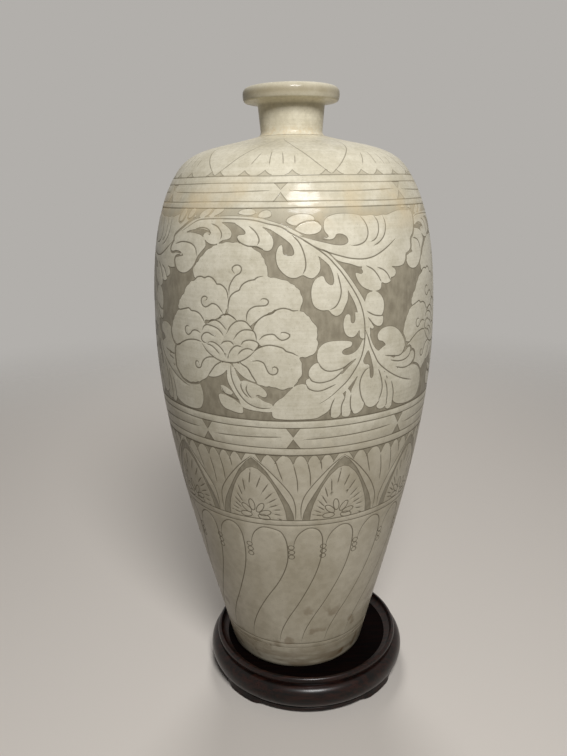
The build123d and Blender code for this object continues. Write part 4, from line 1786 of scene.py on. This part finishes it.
@dataclass
class ShoulderPetals:
    """Broad overlapping petals round the neck, over a narrow panelled border."""

    band: CarvedBand
    count: int = 7
    first: float = -10.0
    lines: tuple[float, ...] = (330.4, 340.5, 344.4)
    separators: tuple[float, ...] = (-63.0, -5.4, 48.3, 98.0, 147.7, 197.4, 247.2)
    waist_rise: float = 0.6
    hollow_half: float = 2.9
    panel_line: tuple[float, ...] = (0.0, -0.5, 0.3)
    scallops: tuple[float, ...] = (-23.5, -11.3, -2.3, 9.2, 23.3)
    notch_half: float = 4.4
    notch_rise: float = 3.3
    notch_points: int = 11
    notch_sharpness: float = 1.8
    side: Points = (
        (24.0, 346.6), (20, 351), (15, 356.5), (10.8, 360.2), (6.7, 363.4), (3.3, 365.4), (1.3, 366.8),
    )
    strokes: tuple[Points, ...] = (
        ((-5.8, 357), (-7.6, 353.5), (-9.2, 350.4)),
        ((-0.7, 357.8), (-0.8, 354), (-0.8, 350.4)),
        ((4.6, 357), (5.1, 353.5), (5.3, 350.4)),
        ((10.4, 355.3), (10.4, 353), (10.4, 350.6)),
    )
    stroke_width: float = 1.05

    def carve(self) -> None:
        """Draws the border, the scalloped edge and the petals."""
        low, high, _ = self.lines
        step = FULL_TURN / self.count
        for number in range(self.count):
            self.petal(self.first + step * number)
        levels = (low, (low + high) / 2 + self.waist_rise, high)
        panelled_border(self.band, self.separators, levels, self.hollow_half, self.panel_line)
        for height in self.lines:
            self.band.ring(height)

    def petal(self, centre: float) -> None:
        """One petal: two sides that meet by the neck, dark notches under its lobes, and a few strokes.

        Args:
            centre: its bearing.
        """
        share = np.linspace(-1, 1, self.notch_points)
        rise = self.notch_rise * (1 - np.abs(share)) ** self.notch_sharpness
        for place in self.scallops:
            cusp = paired(place + share * self.notch_half, self.lines[-1] + rise)
            self.band.fill(cusp[1:-1], Tone.GROUND, centre, sharp=True)
        for side in (-1, 1):
            self.band.line([(side * across, height) for across, height in self.side], centre)
        for stroke in self.strokes:
            self.band.line(stroke, centre, width=self.stroke_width)


# Sub-assemblies


def settle(
    piece: Piece,
    body: Body,
    slot: Slot,
    materials: Sequence[Material],
    *nodes: str,
) -> Piece:
    """Dresses a piece.

    Args:
        piece: the piece.
        body: what it moves with.
        slot: the record's slot that its finish stands for; not used.
        materials: its material slots, in order.
        nodes: the nodes that it stands for, or is a part of.

    Returns:
        The piece.
    """
    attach(piece, body.value)
    piece.data.materials.clear()
    for material in materials:
        piece.data.materials.append(material)
    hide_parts(*nodes)
    return piece


@dataclass
class Vase:
    """The vase, as rings of its wall that meet in the incised lines, with its foot and its neck."""

    outline: VaseOutline = field(default_factory=VaseOutline)
    foot_line: float = 20.1
    panel_line: float = 131.0
    frieze_line: float = 205.3
    scroll_line: float = 327.1
    scroll_line_width: float = 1.3
    bore_radius: float = 14.0
    collar_height: float = 3.0
    neck_fillet: float = 1.0
    neck_base_radius: float = 20.2
    neck_top_radius: float = 21.7
    neck_height: float = 15.6
    lip_radius: float = 31.3
    lip_undercut: float = 1.8
    lip_cove: float = 2.4
    lip_edge: float = 4.6
    lip_crown: float = 4.4
    lip_crown_width: float = 5.3
    mouth_rounding: float = 3.5

    def __post_init__(self) -> None:
        """Finds the vase's base in the frame and makes its finishes."""
        self.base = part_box("lower_body")[0].z
        self.wall = TurnedWall(self.outline, self.base)
        self.finishes = (SlipGlaze().material(), BareStoneware().material())

    def build(self) -> list[Piece]:
        """All the vase's pieces, from the foot up."""
        return [self.foot(), *self.rings(), self.neck()]

    def _settle(self, piece: Piece, *nodes: str) -> Piece:
        """Dresses a piece of the vase, which stands for the given nodes."""
        return settle(piece, Body.VASE, Slot.CERAMIC, self.finishes, *nodes)

    def _mark_slip(self, piece: Piece) -> None:
        """Marks a turned piece as slip all over."""
        for mark, value in (("slip", 1.0), ("incised", 0.0)):
            keep_mark(piece.data, mark, np.full(len(piece.data.vertices), value))

    def foot(self) -> Piece:
        """The foot: a ring to stand on, a thick floor and the wall up to the first line.

        Returns:
            The piece.
        """
        shape = self.outline
        heights = np.linspace(shape.foot_edge, self.foot_line, 9)
        wall = [(self.wall.radius_at(height), height) for height in heights]
        top_inside = (wall[-1][0] - shape.thickness, self.foot_line)
        recess = shape.foot_radius - shape.foot_ring
        section = [
            (0, shape.foot_recess), (recess - shape.foot_recess, shape.foot_recess), (recess, 0.0),
            (shape.foot_radius - shape.foot_edge, 0.0), *wall, top_inside,
            (shape.foot_radius - shape.thickness, shape.floor), (0, shape.floor),
        ]
        placed = [(radius, height + self.base / MM) for radius, height in section]
        piece = spun("vase_foot", np.array(placed))
        self._mark_slip(piece)
        return self._settle(piece, "lower_body")

    def rings(self) -> list[Piece]:
        """The four carved rings of the wall, with a line cut along both rims of each, where they meet.

        Returns:
            The leaf panels, the arch frieze, the peony scroll and the shoulder.
        """
        heights = (self.foot_line, self.panel_line, self.frieze_line, self.scroll_line)
        tops = (*heights[1:], self.outline.neck_root[1])
        broad = {"line_width": self.scroll_line_width}
        plans = (
            ("vase_leaf_panels", LeafPanels, Tone.SLIP, {}, ("lower_body",)),
            ("vase_arch_frieze", ArchFrieze, Tone.SLIP, {"rows": 3}, ("lower_body",)),
            ("vase_peony_scroll", PeonyScroll, Tone.GROUND, broad, ("lower_body", "upper_body")),
            ("vase_shoulder", ShoulderPetals, Tone.SLIP, {}, ("upper_body",)),
        )
        pieces = []
        for low, high, (name, motif, tone, choices, nodes) in zip(heights, tops, plans):
            band = CarvedBand(name, self.wall, low, high, tone, **choices)
            motif(band).carve()
            for height in (low, high):
                band.ring(height, waver=0.0)
            pieces.append(self._settle(band.build(), *nodes))
        return pieces

    def neck(self) -> Piece:
        """The short neck with its rolled lip and straight bore.

        Returns:
            The piece.
        """
        root_radius, root = self.outline.neck_root
        collar = root + self.collar_height
        lip = collar + self.neck_height
        edge = lip + self.lip_cove
        widest = edge + self.lip_edge
        mouth = widest + self.lip_crown
        fillet = (self.neck_base_radius, root + self.neck_fillet)
        neck_base = (self.neck_base_radius, collar)
        neck_top = (self.neck_top_radius, lip)
        under = (self.lip_radius - self.lip_undercut, edge)
        rim = (self.lip_radius, widest)
        crown = (self.lip_radius - self.lip_crown_width, mouth)
        inner = (self.bore_radius + self.mouth_rounding, mouth)
        bore_top = (self.bore_radius, mouth - self.mouth_rounding)
        section = np.vstack([
            [(self.bore_radius, root), (root_radius, root)],
            bezier((root_radius, root), fillet, neck_base, steps=6)[1:],
            bezier(neck_base, neck_top, steps=5)[1:],
            bezier(neck_top, (self.neck_top_radius, edge), under, steps=8)[1:],
            bezier(under, (self.lip_radius, edge), rim, steps=8)[1:],
            bezier(rim, (self.lip_radius, mouth), crown, steps=10)[1:],
            [inner],
            bezier(inner, (self.bore_radius, mouth), bore_top, steps=8)[1:],
        ])
        section[:, 1] += self.base / MM
        piece = spun("vase_neck", section)
        self._mark_slip(piece)
        return self._settle(piece, "neck_and_lip")


@dataclass
class Stand:
    """The low turned stand: a moulded ring on bracket feet, with a round board let into it."""

    seat_height: float = 22.3
    seat_radius: float = 61.8
    board_gap: float = 0.2
    board_thickness: float = 6.0
    board_ease: float = 0.4
    ring_inner: float = 53.8
    ring_bottom: float = 5.0
    ledge_height: float = 16.3
    crest_inner: float = 67.4
    crest_outer: float = 69.8
    crest_height: float = 27.8
    crest_drop: float = 2.4
    groove_radius: float = 68.8
    round_top: float = 22.0
    round_radius: float = 75.0
    round_middle: float = 13.9
    round_bottom: float = 5.8
    round_foot: float = 69.5
    fullness: float = 0.55
    apron_inner: float = 58.9
    apron_radius: float = 71.0
    apron_bottom: float = 2.2
    apron_gap: float = 0.2
    apron_ease: float = 0.3
    apron_steps: int = 28
    foot_radius: float = 72.4
    foot_toe: float = 1.2
    foot_span: float = 30.0
    foot_ease: float = 0.4
    foot_steps: int = 40
    knee_start: float = 0.5
    first_foot: float = -43.0
    foot_names: tuple[str, ...] = ("front_right", "back_right", "back_left", "front_left")

    def __post_init__(self) -> None:
        """Finds the stand's middle in the frame and makes its finishes."""
        low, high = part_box("stand_rim")
        self.centre = ((low.x + high.x) / 2, (low.y + high.y) / 2)
        self.finish = LacqueredWood().material()
        tints = {"dark": linear(6, 4, 4), "red": linear(14, 6, 5)}
        dull = LacqueredWood("dull_wood", **tints, specular=0.02, roughness=0.5, gloss=0.0)
        self.seat_finish = dull.material()

    def build(self) -> list[Piece]:
        """Makes the stand, and gives the pegs that stay as solids their finish.

        Returns:
            All the stand's pieces.
        """
        pieces = [self.ring(), self.seat()]
        for number, name in enumerate(self.foot_names):
            bearing = self.first_foot + number * FULL_TURN / len(self.foot_names)
            pieces.append(self.foot(name, bearing))
            pieces.append(self.apron(name, bearing))
        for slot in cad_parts["foot_pegs"].material_slots:
            slot.material = self.finish
        return pieces

    def _settle(self, piece: Piece, node: str, finish: Material) -> Piece:
        """Dresses a piece of the stand, which stands for the given node or is a part of it."""
        return settle(piece, Body.STAND, Slot.WOOD, (finish,), node)

    def ring(self) -> Piece:
        """The moulded ring, without its apron.

        Returns:
            The piece.
        """
        bulge = self.round_radius - self.groove_radius
        rise = self.fullness * (self.round_top - self.round_bottom) / 2
        inset = self.fullness * (self.round_radius - self.round_foot)
        seat_edge = (self.seat_radius, self.seat_height)
        crest = (self.crest_inner, self.crest_height)
        shoulder = (self.crest_outer, self.crest_height - self.crest_drop)
        top = (self.groove_radius, self.round_top)
        full_top = (self.groove_radius + self.fullness * bulge, self.round_top)
        widest = (self.round_radius, self.round_middle)
        above = (self.round_radius, self.round_middle + rise)
        below = (self.round_radius, self.round_middle - rise)
        foot = (self.round_foot, self.round_bottom)
        section = np.vstack([
            [(self.ring_inner, self.ring_bottom), (self.ring_inner, self.ledge_height),
             (self.seat_radius, self.ledge_height)],
            bezier(seat_edge, (self.crest_inner, self.seat_height), crest, steps=10),
            bezier(crest, (self.crest_outer, self.crest_height), shoulder, steps=8)[1:],
            bezier(top, full_top, above, widest, steps=12),
            bezier(widest, below, (self.round_foot + inset, self.round_bottom), foot, steps=12)[1:],
            [(self.round_foot, self.ring_bottom)],
        ])
        return self._settle(spun("stand_ring", section, self.centre), "stand_rim", self.finish)

    def seat(self) -> Piece:
        """The board that the vase stands on, with its edge eased.

        Returns:
            The piece.
        """
        radius = self.seat_radius - self.board_gap
        top = self.seat_height
        under = top - self.board_thickness
        eased = [(radius, top - self.board_ease), (radius - self.board_ease, top)]
        section = [(0, under), (radius, under), *eased, (0, top)]
        piece = spun("stand_seat", np.array(section), self.centre)
        return self._settle(piece, "seat_board", self.seat_finish)

    def foot(self, name: str, bearing: float) -> Piece:
        """One bracket foot, splayed to its toe and eased along its edges.

        Args:
            name: where it stands.
            bearing: its middle's bearing from +X, in degrees.

        Returns:
            The foot.
        """
        section = [
            (self.apron_inner, 0), (self.foot_radius - self.foot_toe, 0), (self.foot_radius, self.foot_toe),
            (self.apron_radius, self.ring_bottom), (self.apron_inner, self.ring_bottom),
        ]
        turned = (bearing - self.foot_span / 2, self.foot_span, self.foot_steps)
        piece = spun(f"bracket_{name}", np.array(section), self.centre, *turned)
        self._curve_ends(piece, bearing)
        ease_edges(piece, self.foot_ease * MM)
        return self._settle(piece, f"foot_{name}", self.finish)

    def _curve_ends(self, piece: Piece, bearing: float) -> None:
        """Sweeps a foot's two ends up and in, in a soft S, until they run on into the apron.

        Args:
            piece: the foot.
            bearing: its middle's bearing from +X, in degrees.
        """
        middle = Vector((math.cos(math.radians(bearing)), math.sin(math.radians(bearing))))
        for vertex in piece.data.vertices:
            arm = Vector((vertex.co.x - self.centre[0], vertex.co.y - self.centre[1]))
            away = math.degrees(arm.angle(middle)) / (self.foot_span / 2)
            share = max(0.0, (away - self.knee_start) / (1 - self.knee_start))
            lift = share**2 * (3 - 2 * share)
            vertex.co.z = max(vertex.co.z, lift * self.apron_bottom * MM)
            spare = max(0.0, arm.length - self.apron_radius * MM)
            arm.length -= lift * spare
            vertex.co.x, vertex.co.y = self.centre[0] + arm.x, self.centre[1] + arm.y

    def apron(self, name: str, bearing: float) -> Piece:
        """The stretch of low apron that follows one foot.

        Args:
            name: the foot's name.
            bearing: the foot's bearing.

        Returns:
            The apron's stretch.
        """
        room = math.degrees(self.apron_gap / self.foot_radius)
        start = bearing + self.foot_span / 2 + room
        span = FULL_TURN / len(self.foot_names) - self.foot_span - 2 * room
        section = [
            (self.apron_inner, self.apron_bottom), (self.apron_radius, self.apron_bottom),
            (self.apron_radius, self.ring_bottom), (self.apron_inner, self.ring_bottom),
        ]
        turned = (start, span, self.apron_steps)
        piece = spun(f"apron_after_{name}", np.array(section), self.centre, *turned)
        ease_edges(piece, self.apron_ease * MM)
        return self._settle(piece, "stand_rim", self.finish)


def ease_edges(piece: Piece, width: float) -> None:
    """Rounds a piece's sharp edges with a bevel that is then applied.

    Args:
        piece: the piece.
        width: how much of each edge is taken off, in metres.
    """
    select_only(piece)
    bevel = piece.modifiers.new("eased", "BEVEL")
    bevel.width = width
    bevel.segments = 2
    bevel.limit_method = "ANGLE"
    bevel.angle_limit = math.radians(EASED_SHARP)
    bpy.ops.object.modifier_apply(modifier=bevel.name)


@dataclass
class Studio:
    """The pale floor, the soft light and the camera."""

    photo_height: int = 756
    focal_pixels: float = 675.0
    sensor: float = 36.0
    eye: Place = (-0.0078, -0.469, 0.3588)
    pitch: float = 74.437
    roll: float = -0.914
    floor_colour: Colour = linear(216, 209, 201)
    floor_bounce: Colour = linear(132, 125, 117)
    floor_size: float = 1.5
    floor_sides: int = 96
    floor_fade: Span = (0.45, 1.35)
    backdrop: Colour = linear(178, 175, 171)
    ambient: Colour = (1.0, 0.985, 0.96, 1.0)
    ambient_strength: float = 0.03
    lamp_aim: Place = (0.0, 0.0, 0.33)
    key_place: Place = (0.12, -0.708, 0.921)
    key_size: float = 0.36
    key_power: float = 8.9
    back_place: Place = (0.0, 1.05, 1.1)
    back_size: float = 0.5
    back_power: float = 8.0

    def build(self) -> None:
        """Sets up everything round the object."""
        self.camera()
        self.floor()
        self.light()

    def camera(self) -> None:
        """The camera at the photograph's place and angle."""
        data = bpy.data.cameras.new("camera")
        data.sensor_width = self.sensor
        data.lens = self.sensor * self.focal_pixels / self.photo_height
        camera = bpy.data.objects.new("camera", data)
        camera.location = self.eye
        camera.rotation_mode = "ZYX"
        camera.rotation_euler = (math.radians(self.pitch), 0, math.radians(self.roll))
        bpy.context.scene.collection.objects.link(camera)
        bpy.context.scene.camera = camera

    def floor(self) -> None:
        """A round pale floor whose edge fades into the backdrop."""
        bpy.ops.object.select_all(action="DESELECT")
        bpy.ops.mesh.primitive_circle_add(vertices=self.floor_sides, radius=self.floor_size, fill_type="NGON")
        floor = bpy.context.object
        floor.name = "studio_floor"
        shader = Shader("studio_floor", Roughness=0.7, Specular_IOR_Level=0.2)
        tint = shader.blend(shader.looked_at(), self.floor_bounce, self.floor_colour)
        shader.feed("Base Color", tint)
        away = shader.node("ShaderNodeVectorMath", {"operation": "LENGTH"}, {0: shader.place()}, "Value")
        shader.feed("Alpha", 1 - away.between(*self.floor_fade))
        floor.data.materials.append(shader.material)

    def light(self) -> None:
        """A soft key from above in front, a broad light behind and a dim surround, seen as a backdrop."""
        scene = bpy.context.scene
        world = bpy.data.worlds.new("surround")
        world.use_nodes = True
        graph = Graph(world.node_tree)
        dim = {"Color": self.ambient, "Strength": self.ambient_strength}
        surround = graph.node("ShaderNodeBackground", {}, dim)
        backdrop = graph.node("ShaderNodeBackground", {}, {"Color": self.backdrop})
        choice = graph.node("ShaderNodeMixShader", {}, {0: graph.looked_at(), 1: surround, 2: backdrop})
        graph.join(choice, graph.tree.nodes["World Output"].inputs["Surface"])
        scene.world = world
        self.lamp("key", self.key_place, self.key_size, self.key_power)
        back = self.lamp("back", self.back_place, self.back_size, self.back_power)
        back.visible_glossy = False
        scene.view_settings.view_transform = "Standard"

    def lamp(self, name: str, place: Sequence[float], size: float, power: float) -> Piece:
        """One round area light, aimed at the upper part of the vase.

        Args:
            name: its name.
            place: where it hangs.
            size: how far across it is.
            power: how strong it is, in watts.

        Returns:
            The lamp.
        """
        data = bpy.data.lights.new(name, "AREA")
        data.shape = "DISK"
        data.size = size
        data.energy = power
        lamp = bpy.data.objects.new(name, data)
        lamp.location = place
        aim = Vector(self.lamp_aim) - Vector(place)
        lamp.rotation_euler = aim.to_track_quat("-Z", "Y").to_euler()
        bpy.context.scene.collection.objects.link(lamp)
        return lamp


def main() -> None:
    """Builds the stand, the vase and the studio, and reports each piece."""
    logging.basicConfig(level=logging.INFO, format="%(name)s %(message)s")
    for assembly in (Stand(), Vase()):
        for piece in assembly.build():
            LOG.info("%s: %d faces", piece.name, len(piece.data.polygons))
    Studio().build()


if __name__ == "__main__":
    main()
